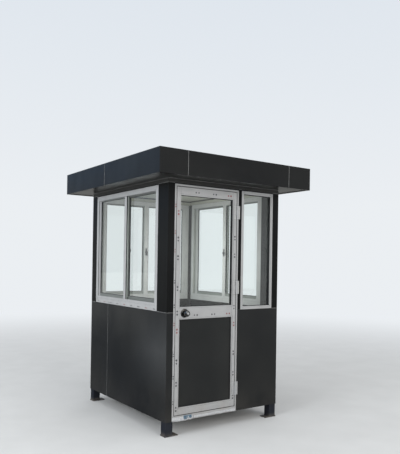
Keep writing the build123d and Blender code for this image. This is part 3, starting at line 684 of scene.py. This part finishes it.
def filmed_bars(name, facing, inner_sash, wrapped, worn, fresh):
    """Dark bars with film on the faces along one axis, darkened by painted shade at the inner sashes' distance
    along it.
    Wrapped bars have grey film on the faces across it too, up to that distance plus 20 mm."""
    made, net = new_material(name, Specular_IOR_Level=0.4)
    coords = net.add("ShaderNodeTexCoord").outputs
    place, normal = coords["Object"], coords["Normal"]
    film = net.use(film_wear_and_fold_shade, {"Vector": place, "Normal": normal, "Facing": facing})
    film_tone = net.mix(net.remap(film["Tone"], 0.25, 0.75), worn, fresh)
    along = net.vector("DOT_PRODUCT", place, facing)["Value"]
    if facing == across_windows:
        along = net.number("ABSOLUTE", along)
    # Painted shade: faces at the inner sashes' depth, set back in the frame, take the darker shade tone.
    inner = net.number("COMPARE", along, inner_sash, sash_margin)
    white = net.mix(net.times(inner, 0.9), film_tone, inner_sash_shade)
    cover = film["Cover"]
    if wrapped:
        sideways = net.vector("DOT_PRODUCT", normal, (facing[1], facing[0], 0.0))["Value"]
        on_side = net.remap(net.number("ABSOLUTE", sideways), 0.45, 0.60)
        on_side = net.times(on_side, net.remap(along, inner_sash + 0.0205, inner_sash + 0.0195))
        white = net.mix(on_side, white, wrapping_film)
        cover = net.number("MAXIMUM", cover, on_side)
    powder = grained(net, place, 650.0, 0.0002, 0.35)
    bare = net.mix(cover, net.mix(powder["Tone"], bar_shadow, bar_light), white)
    mask = dust_mask(net, place, (0.12, 0.50), 9.0, 0.3)
    net.surface(
        Base_Color=net.mix(net.times(mask, 0.35), bare, dust_tone),
        Roughness=net.remap(cover, 0.0, 1.0, 0.40, 0.33),
        Normal=net.bump(film["Height"], 0.45, 0.0012, Normal=powder["Normal"]),
    )
    return made


film_on_sides = filmed_bars("film_on_side_windows", across_windows, side_inner, True, *white_film)
film_on_back = filmed_bars("film_on_back_window", along_booth, end_inner, True, *white_film)
film_on_front = filmed_bars("film_on_door_and_front", along_booth, end_inner, False, *white_film)
# The sash rails take the greyer tone of painted shade.
rails_on_sides = filmed_bars("rails_of_side_sashes", across_windows, side_inner, True, *rail_shade_film)
rails_on_back = filmed_bars("rails_of_back_sashes", along_booth, end_inner, True, *rail_shade_film)
side_bars = ("left_window_frame", "right_window_frame")
front_bars = ("front_window_frame", "door_frame", "door_stops", "door_threshold", "door_leaf")
dress(film_on_sides, *side_bars)
dress(film_on_back, "back_window_frame")
dress(film_on_front, *front_bars)
bar_radius = 0.0009
round_edges(bar_radius, "back_window_frame", *side_bars, *front_bars)


# Glass: 5 mm clear float with a faint green body tint and a trace of haze from dust.
# Light from the lamps passes straight through, so that the cabin is lit as it is by day.
clear_float, net = new_material(
    "clear_float", Base_Color=(0.955, 0.985, 0.972), Transmission_Weight=1.0, IOR=1.5
)
haze = net.noise(net.place(), 6.0, 8.0, 0.7)
net.surface(Roughness=net.remap(haze, 0.45, 0.8, 0.0, 0.05))
let_through = net.add("ShaderNodeBsdfTransparent", {"Color": (0.93, 0.965, 0.95)}).outputs[0]
ray = net.add("ShaderNodeLightPath").outputs
soft_light = net.number("MAXIMUM", ray["Is Shadow Ray"], ray["Is Diffuse Ray"])
lit = net.blend(soft_light, net.shader.outputs[0], let_through)
net.set(net.tree.nodes["Material Output"], {"Surface": lit})
dress(clear_float, "front_window_glass", "door_glass")


# Sliding sashes and their panes, as they hang: the head track hides all but a finger's width of each top
# rail. The imported sashes and panes are drawn up to that line with their grooves. The stiles have white film;
# the rails, half hidden by the head track and the sill, have a greyer tone that is painted shade.
slider_width = {"left": 1.227, "right": 1.227, "back": 1.070}
side_middle = 0.0255
slider_place = {
    "left": Matrix.Translation((-body_x, side_middle, sill)) @ Matrix.Rotation(-math.pi / 2, 4, "Z"),
    "right": Matrix.Translation((body_x, side_middle, sill)) @ Matrix.Rotation(math.pi / 2, 4, "Z"),
    "back": Matrix.Translation((0.0, body_y, sill)) @ Matrix.Rotation(math.pi, 4, "Z"),
}
head_rail_low, head_rail_high = sill + 0.900, sill + 1.022
drawn_up = 0.032
stile_half, stile_from_end = 0.026, 0.083
for name, width in slider_width.items():
    at_back = name == "back"
    stile_film = film_on_back if at_back else film_on_sides
    finishes = (("sashes", stile_film, "window_aluminium"), ("glass", clear_float, "clear_glass"))
    for kind, finish, slot in finishes:
        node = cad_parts[f"{name}_window_{kind}"]
        bm = bmesh.new()
        bm.from_mesh(node.data)
        bmesh.ops.remove_doubles(bm, verts=bm.verts[:], dist=0.00001)
        head_parts = [vert for vert in bm.verts if head_rail_low < vert.co.z < head_rail_high]
        bmesh.ops.translate(bm, verts=head_parts, vec=(0.0, 0.0, drawn_up))
        piece = put_together(f"{name}_hung_{kind}", bm, finish, "booth")
        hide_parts(node.name)
        if kind == "sashes":
            piece.data.materials.append(rails_on_back if at_back else rails_on_sides)
            to_window = slider_place[name].inverted()
            for face in piece.data.polygons:
                across = abs((to_window @ face.center).x)
                face.material_index = int(stile_half < across < width / 2 - stile_from_end)
            soften(piece, bar_radius)


# Glazing gaskets: black rubber wedges pressed in between the panes and their bars, mitred at the corners.
# Both faces of each pane have one, and so has the lower panel of the door.
black_rubber, net = new_material("black_rubber", Specular_IOR_Level=0.3)
place = net.place()
bloomed = net.noise(place, 24.0, 7.0, 0.6)
rubber_tone = net.mix(net.remap(bloomed, 0.4, 0.7), (0.010, 0.010, 0.011), (0.028, 0.028, 0.029))
net.surface(
    Base_Color=rubber_tone, Roughness=net.remap(bloomed, 0.3, 0.7, 0.50, 0.75),
    Normal=grained(net, place, 900.0, 0.0002, 0.4)["Normal"],
)


def bevel_edges(bm, edges, rounding, segments=2):
    bmesh.ops.bevel(
        bm, geom=list(edges), offset=rounding, offset_type="OFFSET", segments=segments, profile=0.5,
        affect="EDGES", material=-1, clamp_overlap=True,
    )


def mitred_strip(bm, plane, low, high, width, rise, rounding):
    """A strip round the inside of a rectangle, mitred at its corners. The plane's Z is the way it rises."""
    middle = Matrix.Translation(((low[0] + high[0]) / 2, (low[1] + high[1]) / 2, 0.0))
    placed = plane @ middle @ Matrix.Diagonal((high[0] - low[0], high[1] - low[1], 1.0, 1.0))
    verts = bmesh.ops.create_grid(bm, x_segments=1, y_segments=1, size=0.5, matrix=placed)["verts"]
    field = verts[0].link_faces[0]
    ring = bmesh.ops.inset_region(
        bm, faces=[field], thickness=width, use_even_offset=True, use_boundary=True
    )["faces"]
    bmesh.ops.delete(bm, geom=[field], context="FACES_ONLY")
    risen = bmesh.ops.extrude_face_region(bm, geom=ring)["geom"]
    top = [part for part in risen if isinstance(part, bmesh.types.BMFace)]
    top_verts = [part for part in risen if isinstance(part, bmesh.types.BMVert)]
    bmesh.ops.translate(bm, verts=top_verts, vec=plane.to_3x3() @ Vector((0.0, 0.0, rise)))
    rims = {edge for face in top for edge in face.edges if sum(f in top for f in edge.link_faces) == 1}
    bevel_edges(bm, rims, rounding)


def upright_plane(place, depth, side):
    """A plane along a wall: X along it, Y up, Z towards outside for a side of -1 or inside for +1."""
    return place @ Matrix(((1, 0, 0, 0), (0, 0, side, depth), (0, 1, 0, 0), (0, 0, 0, 1)))


outer_side = {"left": -1, "right": 1, "back": 1}
outer_track, inner_track = 0.015, 0.043
pane_half, kick_half = 0.0025, 0.005
pane_near, pane_from_end = 0.025, 0.082
pane_foot, pane_head = 0.094, 0.972 + drawn_up
fixed_low, fixed_high = (0.188, sill + 0.028), (0.499, sill + 1.030)
leaf_left, leaf_right = -0.476, 0.062
light_levels, kick_levels = (sill + 0.043, sill + 0.969), (booth_low + 0.110, booth_low + 0.835)
leaf_depth, fixed_depth = -0.730, -0.727
gasket_width, gasket_rise, gasket_round = 0.0035, 0.0048, 0.0014
world_place = Matrix.Identity(4)
fields = []
for name, width in slider_width.items():
    for depth, side in ((outer_track, outer_side[name]), (inner_track, -outer_side[name])):
        left, right_end = sorted((side * pane_near, side * (width / 2 - pane_from_end)))
        fields.append((slider_place[name], depth, (left, pane_foot), (right_end, pane_head), pane_half))
fields.append((world_place, fixed_depth, fixed_low, fixed_high, pane_half))
for (low, high), half in ((light_levels, pane_half), (kick_levels, kick_half)):
    fields.append((world_place, leaf_depth, (leaf_left, low), (leaf_right, high), half))
for name, body, chosen in (("window_gaskets", "booth", fields[:-2]), ("door_gaskets", "door", fields[-2:])):
    bm = bmesh.new()
    for place, depth, low, high, half in chosen:
        for side in (-1, 1):
            plane = upright_plane(place, depth + side * half, side)
            mitred_strip(bm, plane, low, high, gasket_width, gasket_rise, gasket_round)
    put_together(name, bm, black_rubber, body)


# Perimeter sealant: a dark tooled fillet where the window and door frames meet the cladding outside.
# It is a thin black line against the white film on the bars.
fillet, fillet_rise, fillet_round = 0.0045, 0.0017, 0.0012
fixed_left, fixed_right = 0.160, 0.527
frame_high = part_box("left_window_frame")[1][2] - sill
framed = [
    (upright_plane(slider_place[name], 0.0, -1), -width / 2, width / 2, 0.0)
    for name, width in slider_width.items()
]
framed.append((upright_plane(world_place, -body_y, -1), fixed_left, fixed_right, sill))
bm = bmesh.new()
for plane, left, right_end, foot in framed:
    high = (right_end + fillet, foot + frame_high + fillet)
    mitred_strip(bm, plane, (left - fillet, foot - fillet), high, fillet, fillet_rise, fillet_round)
put_together("frame_fillets", bm, black_rubber, "booth")


# Sill upstands: an aluminium strip clipped on each lip of the sliding windows' sills, outside and inside.
# They stand in front of the sashes' bottom rails. Each has a small bead along its foot, where it clips on,
# and the same film as the bars.
def block(bm, placed, size, rounding, segments=2):
    """A small part with rounded edges: its place and turn, its size and the radius."""
    verts = bmesh.ops.create_cube(bm, size=1.0, matrix=placed @ Matrix.Diagonal((*size, 1.0)))["verts"]
    bevel_edges(bm, {edge for vert in verts for edge in vert.link_edges}, rounding, segments)


def at(x, y, z):
    return Matrix.Translation((x, y, z))


upstand_rise, upstand_thick = 0.024, 0.0048
clip_rise, clip_thick = 0.0035, 0.0012
sill_lip, end_play = 0.044, 0.0006
outer_lip, inner_lip = 0.0005, 0.0575
upstand_film = {"left": film_on_sides, "right": film_on_sides, "back": film_on_back}
for name, width in slider_width.items():
    bm = bmesh.new()
    length = width - 2 * sill_lip - end_play
    for depth, side in ((outer_lip, -1), (inner_lip, 1)):
        upright = slider_place[name] @ at(0.0, depth, sill_lip + upstand_rise / 2)
        block(bm, upright, (length, upstand_thick, upstand_rise), 0.0010)
        clip = slider_place[name] @ at(0.0, depth + side * upstand_thick / 2, sill_lip + 0.0025)
        block(bm, clip, (length, clip_thick, clip_rise), 0.0005)
    put_together(f"{name}_sill_upstands", bm, upstand_film[name], "booth")


# Sash locks: a die-cast crescent lock in dark grey at each pair of meeting stiles, on the inner sash.
# A base plate with two screws, a boss, the crescent that swings behind the keeper, and a thumb lever.
die_cast = coated_metal("die_cast", (0.075, 0.077, 0.080), (0.050, 0.052, 0.055), no_dust, 0.38, 900.0)
lock_height = 0.52
sash_inner_face = 0.054
plate_thick = 0.003
boss = [(0.0, 0.0), (0.0095, 0.0), (0.0095, 0.007), (0.0083, 0.0085), (0.0, 0.0085)]
bm = bmesh.new()
for name in slider_width:
    place = slider_place[name] @ at(0.0, sash_inner_face, lock_height)
    inwards = slider_place[name].to_3x3() @ Vector((0.0, 1.0, 0.0))
    block(bm, place @ at(0.0, plate_thick / 2, 0.0), (0.020, plate_thick, 0.074), 0.0011)
    turned(bm, boss, place @ Vector((0.0, plate_thick, 0.0)), inwards, 24)
    hook_end = place @ at(0.0165, 0.0065, 0.0) @ Matrix.Diagonal((0.005, 0.004, 1.0, 1.0))
    hook = bmesh.ops.create_grid(bm, x_segments=1, y_segments=1, size=0.5, matrix=hook_end)["verts"]
    hook_edges = {edge for vert in hook for edge in vert.link_edges}
    hook_faces = {face for vert in hook for face in vert.link_faces}
    bmesh.ops.spin(
        bm, geom=[*hook, *hook_edges, *hook_faces], cent=place.translation, axis=inwards, angle=math.pi,
        steps=16, use_merge=False, use_duplicate=False,
    )
    lever = place @ at(-0.004, 0.0095, -0.020) @ Matrix.Rotation(math.radians(12), 4, "Y")
    block(bm, lever, (0.0085, 0.0050, 0.042), 0.0019, 3)
    for level in (-0.031, 0.031):
        recessed_head(bm, place @ Vector((0.0, 0.0028, level)), inwards, 0.0034, 0.0014)
put_together("sash_locks", bm, die_cast, "booth")


# Hinges: three satin steel hinges outside the door, beside the fixed window. Each has one plate on the leaf
# and one on the frame, joined by a pin. Four countersunk screws hold each plate, a hair proud of it.
def worn_steel(name, light, dark, roughness, stretch, metal=1.0):
    """Satin metal with a drawn grain and slightly cloudy polish."""
    made, net = new_material(name, Metallic=metal)
    place = net.place()
    lines = net.noise(net.vector("MULTIPLY", place, stretch)[0], 1.0, 4.0)
    cloud = net.noise(place, 60.0, 5.0)
    net.surface(
        Base_Color=net.mix(lines, dark, light),
        Roughness=net.remap(cloud, 0.3, 0.7, roughness, roughness + 0.16),
        Normal=net.bump(lines, 0.25, 0.0001),
    )
    return made


upright_grain, level_grain = (900.0, 900.0, 60.0), (900.0, 60.0, 900.0)
hinge_steel = worn_steel("hinge_steel", (0.58, 0.58, 0.575), (0.46, 0.46, 0.455), 0.48, upright_grain, 0.5)
dress(hinge_steel, "frame_hinges", "leaf_hinges")
round_edges(0.0005, "frame_hinges", "leaf_hinges")
outside, inside = (0.0, -1.0, 0.0), (0.0, 1.0, 0.0)
pin_x = 0.1065
frame_plate_face, leaf_plate_face = -0.7543, -0.7533
lowest_hinge = booth_low + 0.2015
hinge_steps, screw_steps = (0.0, 0.8925, 1.5555), (-0.048, -0.018, 0.018, 0.048)
countersunk = (0.0040, 0.0010)
leaf_screws, frame_screws = bmesh.new(), bmesh.new()
for hinge_step in hinge_steps:
    for screw_step in screw_steps:
        level = lowest_hinge + hinge_step + screw_step
        recessed_head(frame_screws, (pin_x + 0.021, frame_plate_face, level), outside, *countersunk)
        recessed_head(leaf_screws, (pin_x - 0.022, leaf_plate_face, level), outside, *countersunk)


# Knob set: satin stainless knobs, turned and polished, one on each side of the door, on dished roses.
# A keyed cylinder is let into the outer one and a turn button into the inner one. They take the place of the
# plain packed pair, on the same spindle, and each rose has two screws on the inside.
# Painted reflection: the stainless base colours are painted dark, standing in for the dark surroundings that
# the knobs and roses reflect, and the roses are darker still.
knob_steel = worn_steel("knob_steel", (0.25, 0.245, 0.24), (0.14, 0.137, 0.133), 0.19, level_grain)
rose_steel = worn_steel("rose_steel", (0.13, 0.127, 0.122), (0.065, 0.063, 0.060), 0.24, level_grain)
dress(knob_steel, "door_knob")
dress(rose_steel, "knob_roses")
knob_x, knob_y, knob_z = -0.430, leaf_depth, sill - 0.009
rose_face, knob_end = 0.0275, 0.0805
for reach in (-0.026, 0.026):
    recessed_head(leaf_screws, (knob_x, knob_y + rose_face, knob_z + reach), inside, 0.0034, 0.0012)
put_together("frame_hinge_screws", frame_screws, screw_zinc, "booth")
put_together("leaf_screws", leaf_screws, screw_zinc, "door")

knob_profile = [
    (0.0, 0.0270), (0.0130, 0.0270), (0.0130, 0.0310), (0.0112, 0.0330), (0.0108, 0.0400),
    (0.0116, 0.0455), (0.0150, 0.0500), (0.0205, 0.0532), (0.0242, 0.0560), (0.0258, 0.0595),
    (0.0262, 0.0640), (0.0256, 0.0682), (0.0240, 0.0718), (0.0212, 0.0748), (0.0180, 0.0766),
    (0.0150, 0.0774), (0.0138, 0.0768), (0.0128, 0.0774), (0.0120, 0.0790), (0.0, 0.0793),
]
cylinder = [(0.0, 0.0788), (0.0092, 0.0788), (0.0092, 0.0799), (0.0086, 0.0805), (0.0, 0.0805)]
bm = bmesh.new()
for side in (-1.0, 1.0):
    turned(bm, knob_profile, (knob_x, knob_y, knob_z), (0.0, side, 0.0), 40)
put_together("turned_knobs", bm, knob_steel, "knob", smooth=True)
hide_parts("door_knob")
bm = bmesh.new()
turned(bm, cylinder, (knob_x, knob_y, knob_z), outside, 32)
block(bm, at(knob_x, knob_y + knob_end + 0.001, knob_z), (0.0050, 0.0060, 0.0170), 0.0018, 3)
put_together("key_cylinder", bm, hinge_steel, "knob")
bm = bmesh.new()
block(bm, at(knob_x, knob_y - knob_end, knob_z), (0.0016, 0.0006, 0.0085), 0.0002)
put_together("keyway", bm, black_rubber, "knob")


# Latch: a steel faceplate and sprung bolt in the leaf's edge, and the strike plate on the frame.
# Both plates are let in nearly flush, and the gap between leaf and frame is kept.
leaf_edge, jamb_face = -0.518, -0.523
bm = bmesh.new()
block(bm, at(leaf_edge - 0.0003, knob_y, knob_z), (0.0016, 0.0250, 0.0580), 0.0006)
block(bm, at(leaf_edge - 0.0014, knob_y, knob_z), (0.0022, 0.0120, 0.0160), 0.0009)
for reach in (-0.022, 0.022):
    recessed_head(bm, (leaf_edge - 0.0009, knob_y, knob_z + reach), (-1.0, 0.0, 0.0), 0.0036, 0.0007)
put_together("latch_faceplate", bm, hinge_steel, "door")
bm = bmesh.new()
block(bm, at(jamb_face + 0.0002, knob_y, knob_z), (0.0016, 0.0270, 0.0700), 0.0006)
for reach in (-0.028, 0.028):
    recessed_head(bm, (jamb_face + 0.0008, knob_y, knob_z + reach), (1.0, 0.0, 0.0), 0.0036, 0.0007)
put_together("strike_plate", bm, hinge_steel, "booth")


# Door seal: a black rubber bulb along the stops, which the leaf closes up to.
# It is pushed into the stops at both sides and the head. The threshold has none.
stop_face = -0.704
seal_low, seal_high = booth_low + 0.046, sill + 1.036
seal_left, seal_right = -0.517, 0.103
seal_radius = 0.0031
seal_runs = (
    (seal_left, seal_low, seal_left), (seal_right, seal_low, seal_right), (seal_left, seal_high, seal_right)
)
bm = bmesh.new()
for x0, z0, x1 in seal_runs:
    bead(bm, (x0, stop_face, z0), (x1, stop_face, seal_high), seal_radius, 0.0, 0.5, facets=10)
put_together("door_seal", bm, black_rubber, "booth", smooth=True)


# Fascia rivets: zinc blind rivets along the folded lip below and the cap above, about every 220 mm.
# They hold the returns of the folded sheets. Each shows the dimple that its mandrel left.
rivet = [
    (0.0, 0.0), (0.0048, 0.0), (0.0046, 0.0007), (0.0036, 0.0013), (0.0018, 0.0016), (0.0016, 0.0010),
    (0.0, 0.0010),
]
rivet_pitch = 0.220
bm = bmesh.new()
for level, way, inset in ((fascia_low, -1.0, 0.0125), (fascia_high, 1.0, 0.020)):
    for side in (-1, 1):
        for step in range(-3, 4):
            along = step * rivet_pitch
            turned(bm, rivet, (along, side * (roof_y - inset), level), (0, 0, way), 10)
            turned(bm, rivet, (side * (roof_x - inset), along + 0.02, level), (0, 0, way), 10)
put_together("fascia_rivets", bm, screw_zinc, "booth")


# Loose film: a few corners of the protective film have lifted off the windows' frames and curl outwards.
# It is thin white polythene, creased where it has come away.
def film_stuff(name, crease_scale, crease_detail, distortion, dark, light, strength, distance):
    """Thin film with the bumps of its creases, and painted shade in their hollows: the tone follows the same
    noise.
    """
    made, net = new_material(name, Specular_IOR_Level=0.45, Roughness=0.35)
    # Painted shade: the tone darkens where the crease noise sinks.
    creases = net.noise(net.place(), crease_scale, crease_detail, distortion=distortion)
    crease_shade_tones = net.mix(net.remap(creases, 0.3, 0.7), dark, light)
    net.surface(Base_Color=crease_shade_tones, Normal=net.bump(creases, strength, distance))
    return made


def thin_sheet(bm, verts, matrix, thickness):
    """Moves a flat grid to its place and gives it its thickness."""
    bmesh.ops.transform(bm, matrix=matrix, verts=verts)
    faces = list({face for vert in verts for face in vert.link_faces})
    bmesh.ops.solidify(bm, geom=faces, thickness=thickness)


def curled_flap(bm, place, width, depth, curl):
    """A thin flap rooted along the plane's X axis, torn at an angle and curling towards the plane's Z."""
    rooted = at(0.0, 0.5, 0.0)
    verts = bmesh.ops.create_grid(bm, x_segments=6, y_segments=6, size=0.5, matrix=rooted)["verts"]
    for vert in verts:
        across, out, _ = vert.co
        reach = out * (0.45 + 0.55 * (across + 0.5)) * depth
        angle = curl * reach / depth
        bent = abs(angle) >= 0.01
        run = reach * math.sin(angle) / angle if bent else reach
        lift = reach * (1.0 - math.cos(angle)) / angle if bent else 0.0
        vert.co = Vector((across * width, run, lift + 0.0004))
    thin_sheet(bm, verts, place, 0.00025)


loose_film = film_stuff("loose_film", 90.0, 5.0, 1.2, (0.34, 0.345, 0.35), (0.50, 0.505, 0.51), 0.5, 0.001)
slider_face = -0.002
flap_width, flap_depth, flap_curl = 0.026, 0.016, 1.3
flaps = (
    ("left", -0.575, 0.020, 0.0), ("left", 0.560, 1.035, 180.0), ("right", 0.590, 0.016, 0.0),
    ("back", -0.500, 0.020, 0.0),
)
bm = bmesh.new()
for name, along, up_by, turn in flaps:
    flap_place = upright_plane(slider_place[name], slider_face, -1) @ at(along, up_by, 0.0)
    flap_place = flap_place @ Matrix.Rotation(math.radians(turn), 4, "Z")
    curled_flap(bm, flap_place, flap_width, flap_depth, flap_curl)
put_together("lifted_film", bm, loose_film, "booth", smooth=True)


# Threshold film: the protective film on the sill bar is torn along its lower edge and hangs in short
# tongues, with a scrap of blue masking film caught under it near the latch side.
def torn_sheet(bm, plane, low, high, cells, hang, buckle, seed):
    """A thin sheet on an upright plane, straight along its top and torn and buckled along its bottom."""
    torn = random.Random(seed)
    verts = bmesh.ops.create_grid(bm, x_segments=cells, y_segments=4, size=0.5)["verts"]
    tears, bulges = [hang / 2], [buckle / 2]
    for _ in range(cells):
        tears.append(min(hang, max(0.0, tears[-1] + torn.uniform(-0.5, 0.5) * hang)))
        bulges.append(min(buckle, max(0.0, bulges[-1] + torn.uniform(-0.6, 0.6) * buckle)))
    for vert in verts:
        across = round((vert.co.x + 0.5) * cells)
        down = 0.5 - vert.co.y
        along = low[0] + (high[0] - low[0]) * across / cells
        hung = high[1] - (high[1] - low[1] + tears[across]) * down
        vert.co = Vector((along, hung, 0.0003 + bulges[across] * down * down))
    thin_sheet(bm, verts, plane, 0.0002)


blue_film = film_stuff("blue_film", 60.0, 3.0, 0.6, (0.045, 0.085, 0.125), (0.12, 0.17, 0.215), 0.6, 0.0015)
leaf_face, frame_face = -0.751, -0.752
threshold_plane = upright_plane(world_place, frame_face, -1) @ at(0.0, booth_low, 0.0)
bm = bmesh.new()
torn_sheet(bm, threshold_plane, (-0.536, 0.006), (-0.330, 0.030), 48, 0.010, 0.004, 3)
torn_sheet(bm, threshold_plane, (-0.318, 0.008), (0.118, 0.024), 90, 0.008, 0.003, 8)
put_together("threshold_film", bm, loose_film, "booth", smooth=True)
bm = bmesh.new()
torn_sheet(bm, threshold_plane, (-0.425, 0.018), (-0.345, 0.038), 20, 0.012, 0.006, 5)
put_together("masking_scrap", bm, blue_film, "booth", smooth=True)


# Head lining: pale strips of the ceiling's sheet on the inner faces of the top frame, under the ceiling.
# They stop short of the ceiling, and the dark steel shows as a line in the joint.
lining_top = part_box("ceiling")[0][2] - 0.011
lining_x, lining_y, lining_drop = 0.5415, 0.6915, 0.0330
lining_thick, lining_round = 0.0016, 0.0006
under = at(0.0, 0.0, lining_top) @ Matrix.Rotation(math.pi, 4, "X")
bm = bmesh.new()
corners = (-lining_x, -lining_y), (lining_x, lining_y)
mitred_strip(bm, under, *corners, lining_thick, lining_drop, lining_round)
put_together("head_lining", bm, ceiling_sheet, "booth")


# Film print: small plain marks on the protective film, in pairs up the bars of the door and its frame
# and along the left window's sill, as the film's maker leaves them. Dark grey dots and dull red dots.
def print_ink(name, strong, faint):
    """Thin ink on film, worn through in places."""
    made, net = new_material(name, Roughness=0.5)
    wear = net.noise(net.place(), 420.0, 3.0)
    net.surface(Base_Color=net.mix(net.remap(wear, 0.40, 0.60), strong, faint))
    return made


grey_ink = print_ink("grey_ink", (0.025, 0.025, 0.028), (0.10, 0.10, 0.105))
red_ink = print_ink("red_ink", (0.17, 0.035, 0.04), (0.26, 0.12, 0.115))
ink_skin = 0.00015
row_pitch, row_drift, red_share = 0.205, 0.04, 0.4
latch_stile_x, hinge_stile_x, latch_jamb_x = -0.501, 0.088, -0.531
scatter = random.Random(11)


def printed_pair(bm, plane, first, step, radius):
    """Two small round dots printed on a plane, with slightly uneven sizes."""
    for x, y in (first, (first[0] + step[0], first[1] + step[1])):
        size = radius * scatter.uniform(0.8, 1.1)
        spot = plane @ at(x, y, ink_skin)
        bmesh.ops.create_circle(bm, cap_ends=True, segments=10, radius=size, matrix=spot)


leaf_plane = upright_plane(world_place, leaf_face, -1)
frame_plane = upright_plane(world_place, frame_face, -1)
sill_plane = upright_plane(slider_place["left"], slider_face, -1)
door_rows, frame_rows = [], []
rise = booth_low + 0.090
while rise < sill + 0.960:
    drift = scatter.uniform(-row_drift, row_drift)
    door_rows.append((rise + drift, scatter.random() < red_share))
    frame_rows.append((rise + 0.06 + drift, scatter.random() < red_share))
    rise += row_pitch
for red, material, ending in ((False, grey_ink, "grey"), (True, red_ink, "red")):
    leaf_dots, frame_dots = bmesh.new(), bmesh.new()
    for level, is_red in door_rows:
        if is_red == red:
            printed_pair(leaf_dots, leaf_plane, (latch_stile_x, level), (0.0, 0.026), 0.0086)
            printed_pair(leaf_dots, leaf_plane, (hinge_stile_x, level + 0.03), (0.0, 0.025), 0.0080)
    for level, is_red in frame_rows:
        if is_red == red and level < sill + 1.03:
            printed_pair(frame_dots, frame_plane, (latch_jamb_x, level), (0.0, 0.019), 0.0060)
    for i, across in enumerate((-0.33, -0.15, 0.01)):
        if (i == 2) == red:
            for level in (sill + 1.000, sill - 0.030):
                printed_pair(leaf_dots, leaf_plane, (across, level), (0.028, 0.0), 0.0080)
    for i in range(9):
        if (i % 3 == 1) == red:
            along = -0.56 + i * 0.14
            printed_pair(frame_dots, sill_plane, (along, 0.015), (0.022, 0.0), 0.0062)
    put_together(f"leaf_dots_{ending}", leaf_dots, material, "door")
    put_together(f"frame_dots_{ending}", frame_dots, material, "booth")
